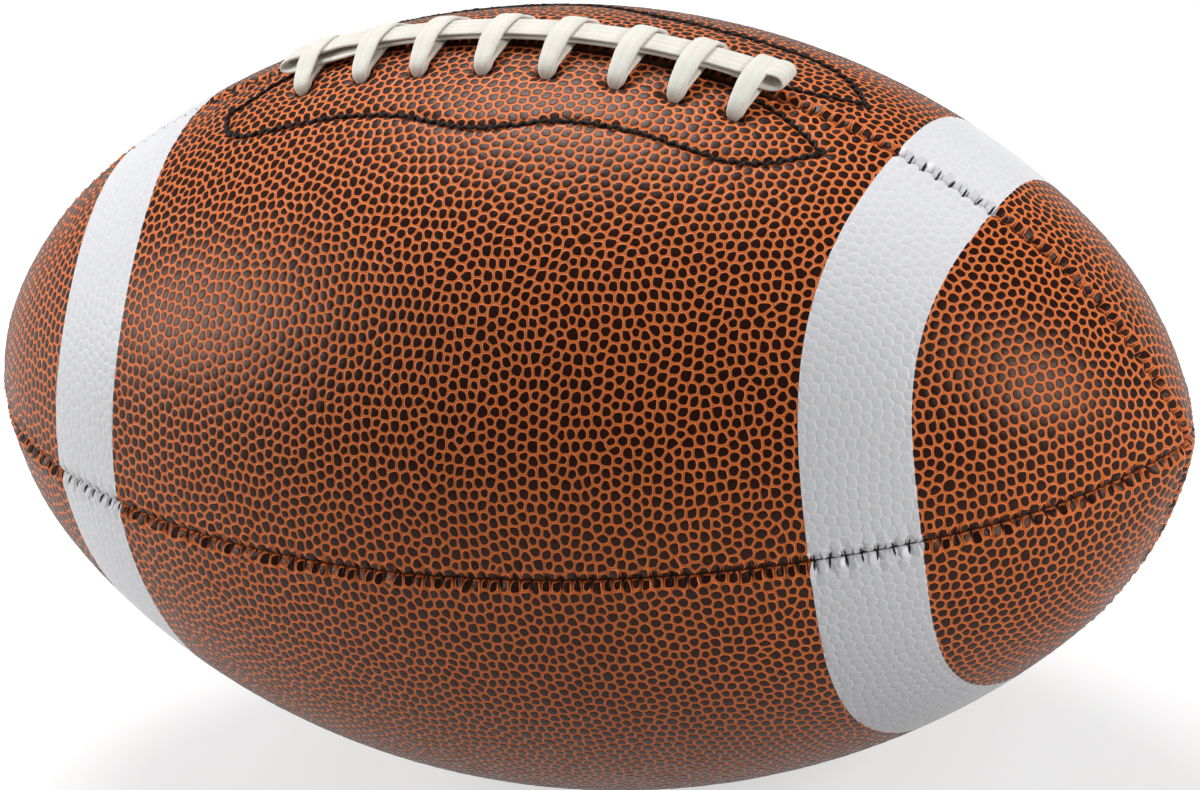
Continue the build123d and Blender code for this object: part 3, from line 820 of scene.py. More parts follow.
def new_group(name, colours, values):
    """Shader node group that puts out colour, roughness and height: its nodes, inputs and outputs."""
    tree = bpy.data.node_groups.new(name, "ShaderNodeTree")
    for key in (*colours, *values):
        kind = "NodeSocketColor" if key in colours else "NodeSocketFloat"
        tree.interface.new_socket(key, in_out="INPUT", socket_type=kind)
    for key in ("Color", "Roughness", "Height"):
        kind = "NodeSocketColor" if key == "Color" else "NodeSocketFloat"
        tree.interface.new_socket(key, in_out="OUTPUT", socket_type=kind)
    nodes = Nodes(tree)
    return tree, nodes, nodes.add("NodeGroupInput").outputs, nodes.add("NodeGroupOutput").inputs


def new_material(name):
    """Material with its nodes and its main shader."""
    material = bpy.data.materials.new(name)
    material.use_nodes = True
    nodes = Nodes(material.node_tree)
    shader = next(n for n in material.node_tree.nodes if n.type == "BSDF_PRINCIPLED")
    return material, nodes, shader


def pebbled_skin():
    """Group: colour, roughness and fine relief of pebbled leather, with painted shade on the pebbles' rims
    and at holes, slit and seams, and a painted highlight along the pebbles' feet.
    """
    tree, nodes, given, out = new_group("Pebbled skin", SKIN_COLOURS, ("Variation",))
    grain = nodes.attribute("grain")
    tone = nodes.attribute("tone")
    speck = nodes.noise(2600.0, 3.0, 0.6)
    cloud = nodes.noise(38.0, 3.0, 0.55)
    raised = nodes.step(grain, 0.56, 0.70)
    flat = nodes.step(grain, 0.74, 0.96)
    mottle = nodes.math("ADD", nodes.span(tone, -0.2, 0.2), nodes.span(speck, -0.3, 0.3))
    lift = nodes.math("MULTIPLY_ADD", mottle, given["Variation"], 1.0)
    # The top's outer edge takes the darker rim colour, a painted shade of its rounded edge
    pebble = nodes.scale(nodes.mix(flat, given["Shaded rim"], given["Pebble"]), lift)
    patchy = nodes.math("ADD", nodes.span(cloud, -0.14, 0.12), nodes.span(speck, -0.08, 0.08))
    shade = nodes.math("MULTIPLY_ADD", patchy, given["Variation"], 1.0)
    # Grooves lighten towards the pebbles' feet: a painted highlight along each pebble's edge
    groove = nodes.mix(nodes.step(grain, 0.15, 0.5), given["Groove"], given["Foot highlight"])
    groove = nodes.scale(groove, shade)
    skin = nodes.mix(raised, groove, pebble)
    # Painted shade at holes, slit and seam edges is mixed over the leather here
    skin = nodes.mix(nodes.attribute("painted_shade"), skin, given["Painted shade"])
    nodes.set(out["Color"], skin)
    rough = nodes.math("ADD", nodes.span(speck, 0.25, 0.37), nodes.span(flat, 0.06, 0.0))
    nodes.set(out["Roughness"], rough)
    nodes.set(out["Height"], nodes.math("MULTIPLY", speck, flat))
    return tree


def woven_cloth():
    """Group: colour, roughness and relief of plain woven cloth."""
    tree, nodes, given, out = new_group("Woven cloth", ("Dark", "Light"), ("Threads",))
    place = nodes.add("ShaderNodeTexCoord").outputs["Object"]
    parts = nodes.add("ShaderNodeSeparateXYZ", {0: place}).outputs
    waves = []
    for axis in ("X", "Y"):
        waves.append(nodes.math("SINE", nodes.math("MULTIPLY", parts[axis], given["Threads"])))
    weave = nodes.math("MULTIPLY", *waves)
    mottle = nodes.math("ADD", nodes.math("MULTIPLY", weave, 0.25), nodes.noise(300.0))
    nodes.set(out["Color"], nodes.mix(nodes.step(mottle, 0.2, 0.9), given["Dark"], given["Light"]))
    nodes.set(out["Roughness"], nodes.span(mottle, 0.78, 0.95))
    nodes.set(out["Height"], weave)
    return tree


def moulded_rubber():
    """Group: colour, roughness and relief of moulded rubber with faint bloom."""
    tree, nodes, given, out = new_group("Moulded rubber", ("Dark", "Light"), ("Smooth", "Rough"))
    bloom = nodes.noise(90.0, 4.0, 0.6)
    nodes.set(out["Color"], nodes.mix(nodes.step(bloom, 0.3, 0.8), given["Dark"], given["Light"]))
    nodes.set(out["Roughness"], nodes.span(bloom, given["Smooth"], given["Rough"]))
    nodes.set(out["Height"], nodes.noise(1600.0))
    return tree


def group_material(name, group, values, relief, strength=1.0):
    """Material that takes its colour, roughness and relief from a group, and its main shader."""
    material, nodes, shader = new_material(name)
    made = nodes.add("ShaderNodeGroup", values, node_tree=group)
    out = made.outputs
    nodes.finish(shader, out["Color"], out["Roughness"], out["Height"], relief, strength)
    return material, shader


def skin_material(name, skin, colours, shine, variation, relief):
    """Pebbled leather in given colours."""
    values = {**dict(zip(SKIN_COLOURS, colours)), "Variation": variation}
    material, shader = group_material(name, skin, values, relief, 0.6)
    shader.inputs["Specular IOR Level"].default_value = 0.28
    shader.inputs["Specular Tint"].default_value = (*shine, 1.0)
    return material


def scaled(colour_value, factor):
    """Colour made lighter or darker."""
    return tuple(min(1.0, c * factor) for c in colour_value)


class FOOTBALL_OT_cover(bpy.types.Operator):
    """Builds the four pebbled cover panels and the eight stripe pieces on them"""

    bl_idname = "football.cover"
    bl_label = "Cover and stripes"

    def execute(self, context):
        scene = context.scene
        form, grain, lace = scene.ball_form, scene.cover_grain, scene.lace_form
        profile = Profile(form)
        browns = (grain.top, grain.rim, grain.ground, grain.foot, grain.painted_shade)
        whites = (grain.white, grain.white, grain.white_ground, grain.white_foot_highlight, grain.white_painted_shade)
        skin = pebbled_skin()
        brown = skin_material("pebbled_leather", skin, browns, grain.shine, 1.0, 0.12 * MM)
        white = skin_material("white_pebbled_leather", skin, whites, (1.0, 1.0, 1.0), 0.08, 0.04 * MM)
        for number, name in enumerate(PANELS):
            rng = np.random.default_rng(COVER_SEED + number)
            holes = self.holes(name, profile, lace)
            pattern = Pattern(profile, grain, holes, rng)
            self.panel(name, pattern, scene, brown, white)
        return {"FINISHED"}

    def holes(self, name, profile, lace):
        """Lace holes of an upper panel, and the valve hole of the rear one."""
        if not name.endswith("upper"):
            return []
        _, way, flip = PANELS[name]
        x = np.array(lace.crosses) * MM
        alongs = profile.along(x * flip)
        turns = np.arcsin((lace.hole_distance - way * lace_shift(lace, x)) / profile.at(alongs)[1])
        found = [(along, turn, lace.hole_run, lace.hole_radius) for along, turn in zip(alongs, turns)]
        if name == "rear_upper":
            found.append((0.0, QUARTER / 2, 0.0, VALVE_HOLE))
        return found

    def panel(self, name, pattern, scene, brown, white):
        """One panel and its two stripe pieces."""
        start, way, flip = PANELS[name]
        form, lace, thread = scene.ball_form, scene.lace_form, scene.thread_form
        profile = pattern.profile
        places, height, grain, tone, faces = pebble_mesh(pattern)
        along, turn = places[:, 0], places[:, 1]
        x, radius, _ = profile.at(along)
        striped = self.on_stripe(form, x * flip, start + way * turn)
        height = np.where(striped, STRIPE_RELIEF, 1.0) * height
        # Painted shade: the colour darkens along the slit under the lace, round the lace holes and along the
        # seam edges, where shade falls
        painted_shade = np.zeros(len(places))
        first, last = radius * turn, radius * (QUARTER - turn)
        sewn = share(radius / PUCKER_RADIUS)
        if name.endswith("upper"):
            open_here = share((lace.slit_half_length + SLIT_FADE / 2 - np.abs(x)) / SLIT_FADE)
            sewn = sewn * np.where(first < last, 1 - open_here, 1)
            push = lace.slit_half_width * open_here * share(1 - first / SLIT_PUSH)
            painted_shade = np.maximum(painted_shade, open_here * painted_shade_fade(first, *SLIT_SHADE))
            turn = turn + push / radius
            hole = pattern.hole_distance(places)
            painted_shade = np.maximum(painted_shade, painted_shade_fade(hole, *HOLE_SHADE))
            height = height - self.dimples(hole, x * flip, radius * np.sin(turn))
        edge = np.minimum(first, last)
        painted_shade = np.maximum(painted_shade, painted_shade_fade(edge, *EDGE_SHADE))
        swing = sewn * np.cos(2 * math.pi * along / thread.pitch)
        height = height - seam_drop(form, edge, swing)
        values = {"grain": grain, "tone": tone, "painted_shade": painted_shade}
        values.update(along=along, turn=turn, height=height)
        faces, values = self.turned_in(faces, values)
        alongs = values["along"] * flip
        turned = start + way * values["turn"]
        points = profile.point(alongs, turned, values["height"])
        values["across"] = profile.at(alongs)[1] * (values["turn"] - QUARTER / 2)
        if way * flip > 0:
            faces = [face[::-1] for face in faces]
        whole = new_mesh("panel_" + name, points, faces, values)
        self.split(name, whole, form, brown, white)

    def dimples(self, hole, x, across):
        """Depth of an upper panel round its lace holes and under its patch stitching."""
        deep, wide = HOLE_DIMPLE
        depth = deep * bell(np.maximum(hole, 0), wide)
        near = (np.abs(x) < PATCH_LENGTH) & (across < PATCH_WIDTH)
        seen = np.stack([x[near], across[near]], axis=1)
        away = np.min([distance_to_line(seen, run) for run in patch_runs(2 * MM)], axis=0)
        deep, wide = STITCH_DIMPLE
        depth[near] += deep * bell(away, wide)
        return depth

    def turned_in(self, faces, values):
        """Adds the inward fold at every open edge of a panel."""
        count = len(values["along"])
        seen = {}
        for face in faces:
            for a, b in zip(face, face[1:] + face[:1]):
                key = (a, b) if a < b else (b, a)
                seen[key] = None if key in seen else (a, b)
        rim = [edge for edge in seen.values() if edge]
        ends = sorted({v for edge in rim for v in edge})
        fresh = {v: count + i for i, v in enumerate(ends)}
        faces = faces + [[b, a, fresh[a], fresh[b]] for a, b in rim]
        values = {key: np.concatenate([value, value[ends]]) for key, value in values.items()}
        values["height"][count:] -= TURN_IN
        # The folded-in edges, down in the seams, take the full painted shade
        values["painted_shade"][count:] = 1.0
        return faces, values

    def split(self, name, whole, form, brown, white):
        """Cuts a panel at the stripe edges into its brown piece and its two white ones."""
        bm = bmesh.new()
        bm.from_mesh(whole.data)
        bpy.data.objects.remove(whole)
        for side in (-1, 1):
            self.straighten(bm, form, -side)
            for edge in (side * form.stripe_inner, side * form.stripe_outer):
                everything = bm.verts[:] + bm.edges[:] + bm.faces[:]
                bmesh.ops.bisect_plane(
                    bm, geom=everything, dist=TOLERANCE, plane_co=(edge, 0, 0), plane_no=(1, 0, 0)
                )
            self.straighten(bm, form, side)
        parts = {
            "cover_" + name: (brown, "cover", "cover_panel_" + name, 0),
            "white_stripe_left_" + name: (white, "stripe", "stripe_left_" + name, -1),
            "white_stripe_right_" + name: (white, "stripe", "stripe_right_" + name, 1),
        }
        sides = [self.stripe_side(form, face.calc_center_median()) for face in bm.faces]
        for piece_name, (material, slot_name, cad_node, side) in parts.items():
            part = bm.copy()
            other = [face for face, found in zip(part.faces, sides) if found != side]
            bmesh.ops.delete(part, geom=other, context="FACES")
            mesh = bpy.data.meshes.new(piece_name)
            part.to_mesh(mesh)
            part.free()
            self.lay_flat(mesh)
            mesh.shade_smooth()
            self.flatten_tops(mesh)
            dress(add_object(piece_name, mesh), material, slot_name, cad_node)
        bm.free()

    def bow(self, form, turn):
        """How much further out a stripe lies at a turn about the long axis."""
        return form.stripe_bow * (np.cos(4 * turn) + 0.75) / 2 + form.stripe_lean * np.cos(turn)

    def straighten(self, bm, form, way):
        """Moves a panel along X by the bow of its stripes, so that their edges can be cut straight."""
        middle = form.diameter / 2
        for v in bm.verts:
            v.co.x += way * self.bow(form, math.atan2(v.co.y, v.co.z - middle))

    def on_stripe(self, form, x, turn):
        """Whether places along X and about the long axis lie on a stripe."""
        reach = np.abs(x) - self.bow(form, turn)
        return (form.stripe_inner < reach) & (reach < form.stripe_outer)

    def stripe_side(self, form, place):
        """Left or right stripe at a place as -1 or 1, or 0 on the brown leather."""
        turn = math.atan2(place.y, place.z - form.diameter / 2)
        return int(math.copysign(1, place.x)) if self.on_stripe(form, place.x, turn) else 0

    def flatten_tops(self, mesh):
        """Turns the shading of the pebbles' tops towards their flat faces."""
        grain = read(mesh.attributes["grain"].data, "value")
        corner = read(mesh.loops, "vertex_index", np.int32)
        start = read(mesh.polygons, "loop_start", np.int32)
        total = read(mesh.polygons, "loop_total", np.int32)
        facing = read(mesh.polygons, "normal", width=3)
        normals = read(mesh.vertices, "normal", width=3)
        on_top = np.repeat(np.minimum.reduceat(grain[corner], start) > TOP_GRAIN, total)
        flat = np.repeat(facing, total, axis=0)[on_top]
        normals[corner[on_top]] = (1 - FLAT_SHARE) * normals[corner[on_top]] + FLAT_SHARE * flat
        mesh.normals_split_custom_set_from_vertices(unit(normals).tolist())

    def lay_flat(self, mesh):
        """Lays a panel out flat for its textures."""
        flat = np.stack([read(mesh.attributes[key].data, "value") for key in ("along", "across")], axis=1)
        low, high = flat.min(axis=0), flat.max(axis=0)
        flat = (flat - low) / (high - low).max() * (1 - 2 * SHEET_MARGIN) + SHEET_MARGIN
        corner = read(mesh.loops, "vertex_index", np.int32)
        layer = mesh.uv_layers.new(name="OFBake")
        layer.data.foreach_set("uv", flat[corner].ravel())
        for key in ("along", "across", "turn", "height"):
            mesh.attributes.remove(mesh.attributes[key])


def tube_faces(rings, sides, first):
    """Faces of a closed tube whose points come ring by ring."""
    faces = []
    for ring in range(rings - 1):
        start = first + ring * sides
        for k in range(sides):
            after = (k + 1) % sides
            faces.append([start + k, start + after, start + sides + after, start + sides + k])
    faces.append([first + k for k in reversed(range(sides))])
    faces.append([first + (rings - 1) * sides + k for k in range(sides)])
    return faces


def ribbon(path, side, widths, thickness):
    """Flat rounded strand along a path: points, and their lengthwise and crosswise places."""
    ways = unit(np.gradient(path, axis=0))
    up = unit(np.cross(side, ways))
    swing = circle(STRAND_SIDES)
    flat = np.sign(np.cos(swing)) * np.abs(np.cos(swing)) ** SQUARE_SIDES
    thick = np.sign(np.sin(swing)) * np.abs(np.sin(swing)) ** SQUARE_FACES
    across = flat * widths[:, None] / 2
    tall = thick * thickness[:, None] / 2
    points = path[:, None] + across[..., None] * side + tall[..., None] * up[:, None]
    return points.reshape(-1, 3), np.repeat(lengths(path), STRAND_SIDES), across.ravel()


class FOOTBALL_OT_lace(bpy.types.Operator):
    """Builds the lace: crosses, the strands under the spine, and the doubled spine with its loops"""

    bl_idname = "football.lace"
    bl_label = "Lace"

    def execute(self, context):
        scene = context.scene
        lace = scene.lace_form
        profile = Profile(scene.ball_form)
        strands = [self.spine(profile, lace)]
        for x in lace.crosses:
            strands.append(self.strand(profile, lace, x * MM, True))
            strands.append(self.strand(profile, lace, x * MM, False))
        points, faces, values = [], [], {"along": [], "across": [], "tuck": [], "rib": []}
        total = 0
        for number, (path, side, widths, thickness, tuck) in enumerate(strands):
            made, along, across = ribbon(path, side, widths, thickness)
            points.append(made)
            faces += tube_faces(len(path), STRAND_SIDES, total)
            values["along"].append(along)
            values["across"].append(across)
            values["tuck"].append(np.repeat(tuck, STRAND_SIDES))
            values["rib"].append(np.full(len(made), 1.0 if number == 0 else 0.6))
            total += len(made)
        values = {key: np.concatenate(value) for key, value in values.items()}
        piece = new_mesh("woven_lace", np.vstack(points), faces, values)
        dress(piece, self.material(lace), "lace", "lace")
        return {"FINISHED"}

    def strand(self, profile, lace, x, over):
        """One strand across the seam, over or under the spine, down into its two holes."""
        along = float(profile.along(x))
        _, radius, lean = (float(v) for v in profile.at(along))
        out = np.array([math.sin(lean), 0.0, math.cos(lean)])
        side = np.array([math.cos(lean), 0.0, -math.sin(lean)])
        base = profile.point(along, 0.0, 0.0) + np.array([0.0, lace_shift(lace, x), 0.0])
        flat = smooth_run(STRAND_OVER if over else STRAND_UNDER, CROSS_RINGS)
        y, rise = flat[:, 0], flat[:, 1]
        lift = rise + share(rise / SPREAD_RISE) * x * math.tan(lace.tilt)
        drop = np.sqrt(radius**2 - y**2) - radius
        path = base + np.stack([0 * y, y, 0 * y], axis=1) + (drop + lift)[:, None] * out
        spread = share((rise - SPREAD_START) / SPREAD_RISE) if over else UNDER_SPREAD
        rounded = np.sqrt(1 - (1 - np.clip((rise - ROUND_START) / ROUND_RISE, ROUND_LEAST, 1)) ** 2)
        widths = (lace.tip_width + (lace.width - lace.tip_width) * spread) * rounded
        thickness = lace.thickness * np.interp(rise / MM, (0.0, 2.5), (1.3, 1.0))
        tuck = share(1 - (rise - TUCK_START) / TUCK_RISE)
        return path, side, widths, thickness, tuck

    def spine(self, profile, lace):
        """Doubled run along the slit, folded into a loop at each end."""
        flat = smooth_run(SPINE_RIGHT + SPINE_UPPER + SPINE_LEFT + SPINE_LOWER, SPINE_RINGS)
        alongs = profile.along(flat[:, 0])
        turns = -(lace_shift(lace, flat[:, 0]) + flat[:, 1]) / profile.at(alongs)[1]
        path = profile.point(alongs, turns, flat[:, 2] + flat[:, 0] * math.tan(lace.tilt))
        widths = np.full(len(flat), lace.spine_width)
        thickness = np.full(len(flat), lace.thickness * 0.95)
        return path, np.array([0.0, 1.0, 0.0]), widths, thickness, np.zeros(len(flat))

    def material(self, lace):
        """Ivory woven tape: a fine diagonal weave, with faint lengthwise ribs on the spine."""
        material, nodes, shader = new_material("ivory_weave")
        along = nodes.math("MULTIPLY", nodes.attribute("along"), 2 * math.pi / (1.0 * MM))
        across = nodes.math("MULTIPLY", nodes.attribute("across"), 2 * math.pi / (1.3 * MM))
        diagonal = nodes.math("SINE", nodes.math("ADD", along, across))
        counter = nodes.math("SINE", nodes.math("SUBTRACT", along, across))
        yarns = nodes.math("MULTIPLY", diagonal, counter)
        lengthwise = nodes.math("MULTIPLY", nodes.attribute("across"), 2 * math.pi / (1.9 * MM))
        ribs = nodes.math("MULTIPLY", nodes.math("SINE", lengthwise), nodes.attribute("rib"))
        weave = nodes.math("ADD", nodes.math("MULTIPLY", yarns, 0.45), nodes.math("MULTIPLY", ribs, 0.35))
        cloud = nodes.span(nodes.noise(420.0, 3.0), 0.0, 0.22)
        mottle = nodes.math("MULTIPLY_ADD", weave, -0.22, cloud)
        yarn = nodes.mix(nodes.step(mottle, 0.0, 0.5), lace.yarn, lace.shade)
        # Patchy brown tint on the strands near and below their holes
        tint = nodes.math("MULTIPLY", nodes.attribute("tuck"), nodes.span(nodes.noise(900.0), 0.2, 0.7))
        rough = nodes.span(nodes.noise(1500.0), 0.62, 0.82)
        nodes.finish(shader, nodes.mix(tint, yarn, lace.hole_tint), rough, weave, 0.09 * MM, 0.6)
        shader.inputs["Sheen Weight"].default_value = 0.15
        return material


def thread_material(thread):
    """Black waxed thread with a fine twist."""
    found = bpy.data.materials.get("black_thread")
    if found:
        return found
    material, nodes, shader = new_material("black_thread")
    fuzz = nodes.noise(2200.0, 3.0, 0.6)
    tint = nodes.mix(nodes.step(fuzz, 0.35, 0.75), thread.colour, scaled(thread.colour, 2.6))
    nodes.finish(shader, tint, nodes.span(fuzz, 0.38, 0.62), fuzz, 0.12 * MM)
    shader.inputs["Specular IOR Level"].default_value = 0.16
    return material


def spindle_shape(half_length, radius, rings, taper):
    """Points of a thread stitch that lies along its first axis, ring by ring."""
    reach = np.sin(np.linspace(-QUARTER, QUARTER, rings))
    swing = circle(THREAD_SIDES)
    girth = radius * np.maximum(1 - reach**2, 0) ** taper
    girth[[0, -1]] = radius * BLUNT_END
    columns = (
        np.repeat(reach * half_length, THREAD_SIDES),
        (girth[:, None] * np.cos(swing)).ravel(),
        (girth[:, None] * np.sin(swing)).ravel(),
    )
    return np.stack(columns, axis=1)


class FOOTBALL_OT_seam_threads(bpy.types.Operator):
    """Builds the cord and the stitches of the five sewn seams"""

    bl_idname = "football.seam_threads"
    bl_label = "Seam threads"

    def execute(self, context):
        scene = context.scene
        profile = Profile(scene.ball_form)
        slit_end = float(profile.along(scene.lace_form.slit_half_length)) + SLIT_GAP
        end = profile.end - THREAD_GAP
        rng = np.random.default_rng(SEAM_SEED)
        for name, turn in SEAMS.items():
            low = slit_end if name == "top_right" else -end
            high = -slit_end if name == "top_left" else end
            points, faces = self.thread(profile, scene, turn, low, high, rng)
            piece = new_mesh("stitching_" + name, points, faces)
            dress(piece, thread_material(scene.thread_form), "thread", "seam_thread_" + name)
        return {"FINISHED"}

    def thread(self, profile, scene, turn, low, high, rng):
        """Cord in the valley of a seam and the stitches laid across it."""
        form, thread, depth = scene.ball_form, scene.thread_form, scene.cover_grain.depth
        count = int((high - low) / CORD_STEP)
        swing = circle(THREAD_SIDES)
        along = np.repeat(np.linspace(low, high, count), THREAD_SIDES)
        across = np.tile(-thread.cord_radius * np.cos(swing), count)
        height = np.tile(thread.cord_radius * np.sin(swing) - form.valley_depth, count)
        spots = [(along, across, height)]
        faces = tube_faces(count, THREAD_SIDES, 0)
        total = len(along)
        shape = spindle_shape(thread.reach, thread.radius, STITCH_RINGS, STITCH_TAPER)
        first = math.ceil(low / thread.pitch + 0.5)
        last = math.floor(high / thread.pitch - 0.5)
        for number in range(first, last):
            lean = rng.uniform(*STITCH_LEAN)
            stretch = rng.uniform(*STITCH_STRETCH)
            long, wide, tall = shape[:, 0] * stretch, shape[:, 1], shape[:, 2]
            drop = seam_drop(form, np.abs(long), -1.0) + depth - STITCH_RISE
            spots.append(((number + 0.5) * thread.pitch + wide + long * lean, long, tall - drop))
            faces += tube_faces(STITCH_RINGS, THREAD_SIDES, total)
            total += len(shape)
        along, across, height = (np.concatenate(column) for column in zip(*spots))
        radius = np.maximum(profile.at(along)[1], LEAST_RADIUS)
        return profile.point(along, turn + across / radius, height), faces


class FOOTBALL_OT_patch_stitching(bpy.types.Operator):
    """Builds the two wavy runs of stitching round the lacing"""

    bl_idname = "football.patch_stitching"
    bl_label = "Patch stitching"

    def execute(self, context):
        scene = context.scene
        thread = scene.thread_form
        profile = Profile(scene.ball_form)
        for name, side in (("front", 1), ("rear", -1)):
            points, faces = self.beads(profile, thread, side)
            piece = new_mesh("zigzag_stitching_" + name, points, faces)
            dress(piece, thread_material(thread), "thread", "patch_stitching_" + name)
        return {"FINISHED"}

    def beads(self, profile, thread, side):
        """Short overlapping stitches that lean to one side and the other."""
        shape = spindle_shape(thread.bead_length, thread.bead_radius, BEAD_RINGS, BEAD_TAPER)
        rng = np.random.default_rng(PATCH_SEED)
        points, faces = [], []
        for run in patch_runs(thread.bead_pitch):
            for number, (first, last) in enumerate(zip(run[:-1], run[1:])):
                way = last - first
                lean = rng.uniform(*BEAD_LEAN) * (1 if number % 2 else -1)
                heading = math.atan2(way[1], way[0]) + lean
                ahead = np.array([math.cos(heading), math.sin(heading)])
                beside = np.array([-ahead[1], ahead[0]])
                aside = rng.uniform(*BEAD_ASIDE) * MM
                flat = (first + last) / 2 + shape[:, :1] * ahead + (shape[:, 1:2] + aside) * beside
                tall = shape[:, 2] * BEAD_FLATNESS - BEAD_DEPTH + rng.uniform(*BEAD_LIFT) * MM
                alongs = profile.along(flat[:, 0])
                turns = np.arcsin(flat[:, 1] / profile.at(alongs)[1])
                made = tube_faces(BEAD_RINGS, THREAD_SIDES, len(points) * len(shape))
                faces += made if side > 0 else [face[::-1] for face in made]
                points.append(profile.point(alongs, side * turns, tall))
        return np.vstack(points), faces


class FOOTBALL_OT_inner_finishes(bpy.types.Operator):
    """Gives the linings, patches, tongue, bladder and valve their finishes"""

    bl_idname = "football.inner_finishes"
    bl_label = "Inner finishes"

    def execute(self, context):
        cloth, rubber = woven_cloth(), moulded_rubber()
        finishes = {
            "panel_lining": self.cloth("lining_cloth", cloth, (0.42, 0.39, 0.33), 0.9 * MM),
            "lace_patch": self.cloth("patch_cloth", cloth, (0.05, 0.035, 0.03), 0.7 * MM),
            "lace_tongue": self.cloth("tongue_cloth", cloth, (0.045, 0.03, 0.026), 0.7 * MM),
            "bladder": self.rubber("bladder_rubber", rubber, (0.02, 0.02, 0.021), 0.55),
            "valve": self.rubber("valve_rubber", rubber, (0.03, 0.028, 0.028), 0.45),
        }
        for name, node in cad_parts.items():
            for start, material in finishes.items():
                if name.startswith(start):
                    node.data.materials.clear()
                    node.data.materials.append(material)
        return {"FINISHED"}

    def cloth(self, name, group, tint, pitch):
        """Plain woven cloth of one tint and one pitch of its threads."""
        values = {"Dark": scaled(tint, 0.6), "Light": scaled(tint, 1.25), "Threads": 2 * math.pi / pitch}
        return group_material(name, group, values, 0.15 * MM)[0]

    def rubber(self, name, group, tint, rough):
        """Moulded rubber of one tint and one roughness."""
        values = {"Dark": tint, "Light": scaled(tint, 2.0), "Smooth": rough, "Rough": rough + 0.2}
        return group_material(name, group, values, 0.04 * MM)[0]


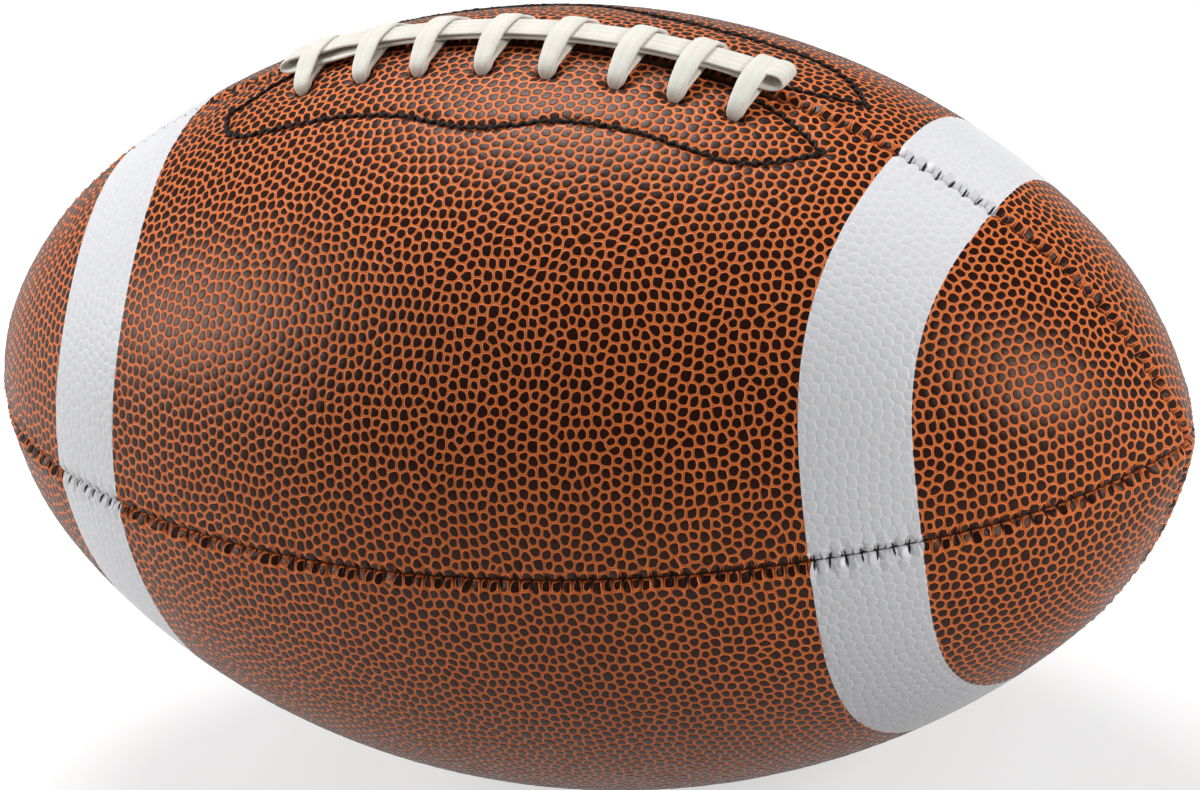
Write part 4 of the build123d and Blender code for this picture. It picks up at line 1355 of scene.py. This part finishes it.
class FOOTBALL_OT_stage(bpy.types.Operator):
    """Sets the floor, the light and the camera"""

    bl_idname = "football.stage"
    bl_label = "Stage"

    def execute(self, context):
        scene = context.scene
        scene.view_settings.view_transform = "Standard"
        self.camera(scene)
        self.floor()
        self.world(scene)
        self.lamps(scene)
        return {"FINISHED"}

    def camera(self, scene):
        """Camera at the photograph's viewing angle."""
        stage = scene.stage_form
        a, e, roll = stage.azimuth, stage.elevation, stage.roll
        right = np.array([math.cos(a), math.sin(a), 0.0])
        back = np.array([math.sin(a) * math.cos(e), -math.cos(a) * math.cos(e), math.sin(e)])
        up = np.cross(back, right)
        turned_right = math.cos(roll) * right + math.sin(roll) * up
        turned_up = -math.sin(roll) * right + math.cos(roll) * up
        place = -turned_right * stage.slide_right - turned_up * stage.slide_up + back * stage.distance
        place[2] += scene.ball_form.diameter / 2
        data = bpy.data.cameras.new("camera")
        data.sensor_width = SENSOR_WIDTH
        data.lens = stage.focal_pixels / IMAGE_WIDTH * SENSOR_WIDTH
        data.clip_end = 100.0
        camera = add_object("camera", data)
        matrix = Matrix(np.stack([turned_right, turned_up, back], axis=1).tolist()).to_4x4()
        matrix.translation = Vector(place)
        camera.matrix_world = matrix
        scene.camera = camera

    def floor(self):
        """Wide pale floor that takes the ball's shadow."""
        bm = bmesh.new()
        bmesh.ops.create_grid(bm, x_segments=8, y_segments=8, size=6.0)
        mesh = bpy.data.meshes.new("floor")
        bm.to_mesh(mesh)
        bm.free()
        floor = add_object("floor", mesh)
        material, nodes, shader = new_material("pale_floor")
        shader.inputs["Base Color"].default_value = (FLOOR_GREY, FLOOR_GREY, FLOOR_GREY, 1.0)
        shader.inputs["Roughness"].default_value = 0.9
        shader.inputs["Specular IOR Level"].default_value = 0.0
        rays = nodes.add("ShaderNodeLightPath").outputs
        mirrored = nodes.math("MAXIMUM", rays["Is Glossy Ray"], rays["Is Transmission Ray"])
        seen = nodes.math("MAXIMUM", rays["Is Camera Ray"], mirrored)
        nodes.set(shader.inputs["Emission Strength"], nodes.math("MULTIPLY", seen, FLOOR_GLOW))
        shader.inputs["Emission Color"].default_value = (1.0, 1.0, 1.0, 1.0)
        mesh.materials.append(material)

    def world(self, scene):
        """Even light from all round."""
        world = bpy.data.worlds.new("studio")
        world.use_nodes = True
        ground = next(n for n in world.node_tree.nodes if n.type == "BACKGROUND")
        ground.inputs["Color"].default_value = (1.0, 1.0, 1.0, 1.0)
        ground.inputs["Strength"].default_value = ROUND_LIGHT
        scene.world = world

    def lamps(self, scene):
        """Soft lamps overhead and at both ends of the ball."""
        for name, place, width, power in (
            ("overhead", (-0.42, 0.60, 1.45), 0.6, 17.4),
            ("left", (-1.40, -0.46, 0.66), 0.62, 13.2),
            ("right", (1.45, -0.08, 0.70), 0.45, 13.0),
        ):
            data = bpy.data.lights.new(name, "AREA")
            data.energy = power
            data.size = width
            lamp = add_object(name, data)
            lamp.location = place
            aim = Vector((0.0, 0.0, scene.ball_form.diameter / 2)) - lamp.location
            lamp.rotation_euler = aim.to_track_quat("-Z", "Y").to_euler()


class FOOTBALL_PT_panel(bpy.types.Panel):
    """Sidebar list of the steps that build the football"""

    bl_idname = "FOOTBALL_PT_panel"
    bl_label = "American Football"
    bl_space_type = "VIEW_3D"
    bl_region_type = "UI"
    bl_category = "Football"

    def draw(self, context):
        for operator in OPERATORS:
            self.layout.operator(operator.bl_idname)
        for key in GROUPS:
            box = self.layout.box()
            group = getattr(context.scene, key)
            for name in group.__annotations__:
                box.prop(group, name)


GROUPS = {
    "ball_form": BallForm,
    "cover_grain": CoverGrain,
    "lace_form": LaceForm,
    "thread_form": ThreadForm,
    "stage_form": StageForm,
}
OPERATORS = (
    FOOTBALL_OT_stage,
    FOOTBALL_OT_cover,
    FOOTBALL_OT_lace,
    FOOTBALL_OT_seam_threads,
    FOOTBALL_OT_patch_stitching,
    FOOTBALL_OT_inner_finishes,
)
CLASSES = (*GROUPS.values(), *OPERATORS, FOOTBALL_PT_panel)


def register():
    """Adds the classes and the settings that the operators read."""
    for item in CLASSES:
        bpy.utils.register_class(item)
    for key, group in GROUPS.items():
        setattr(bpy.types.Scene, key, bpy.props.PointerProperty(type=group))


def unregister():
    """Takes the settings and the classes away."""
    for key in GROUPS:
        delattr(bpy.types.Scene, key)
    for item in reversed(CLASSES):
        bpy.utils.unregister_class(item)


def main():
    """Builds everything in order."""
    register()
    bpy.ops.football.stage()
    bpy.ops.football.cover()
    bpy.ops.football.lace()
    bpy.ops.football.seam_threads()
    bpy.ops.football.patch_stitching()
    bpy.ops.football.inner_finishes()


if __name__ == "__main__":
    main()
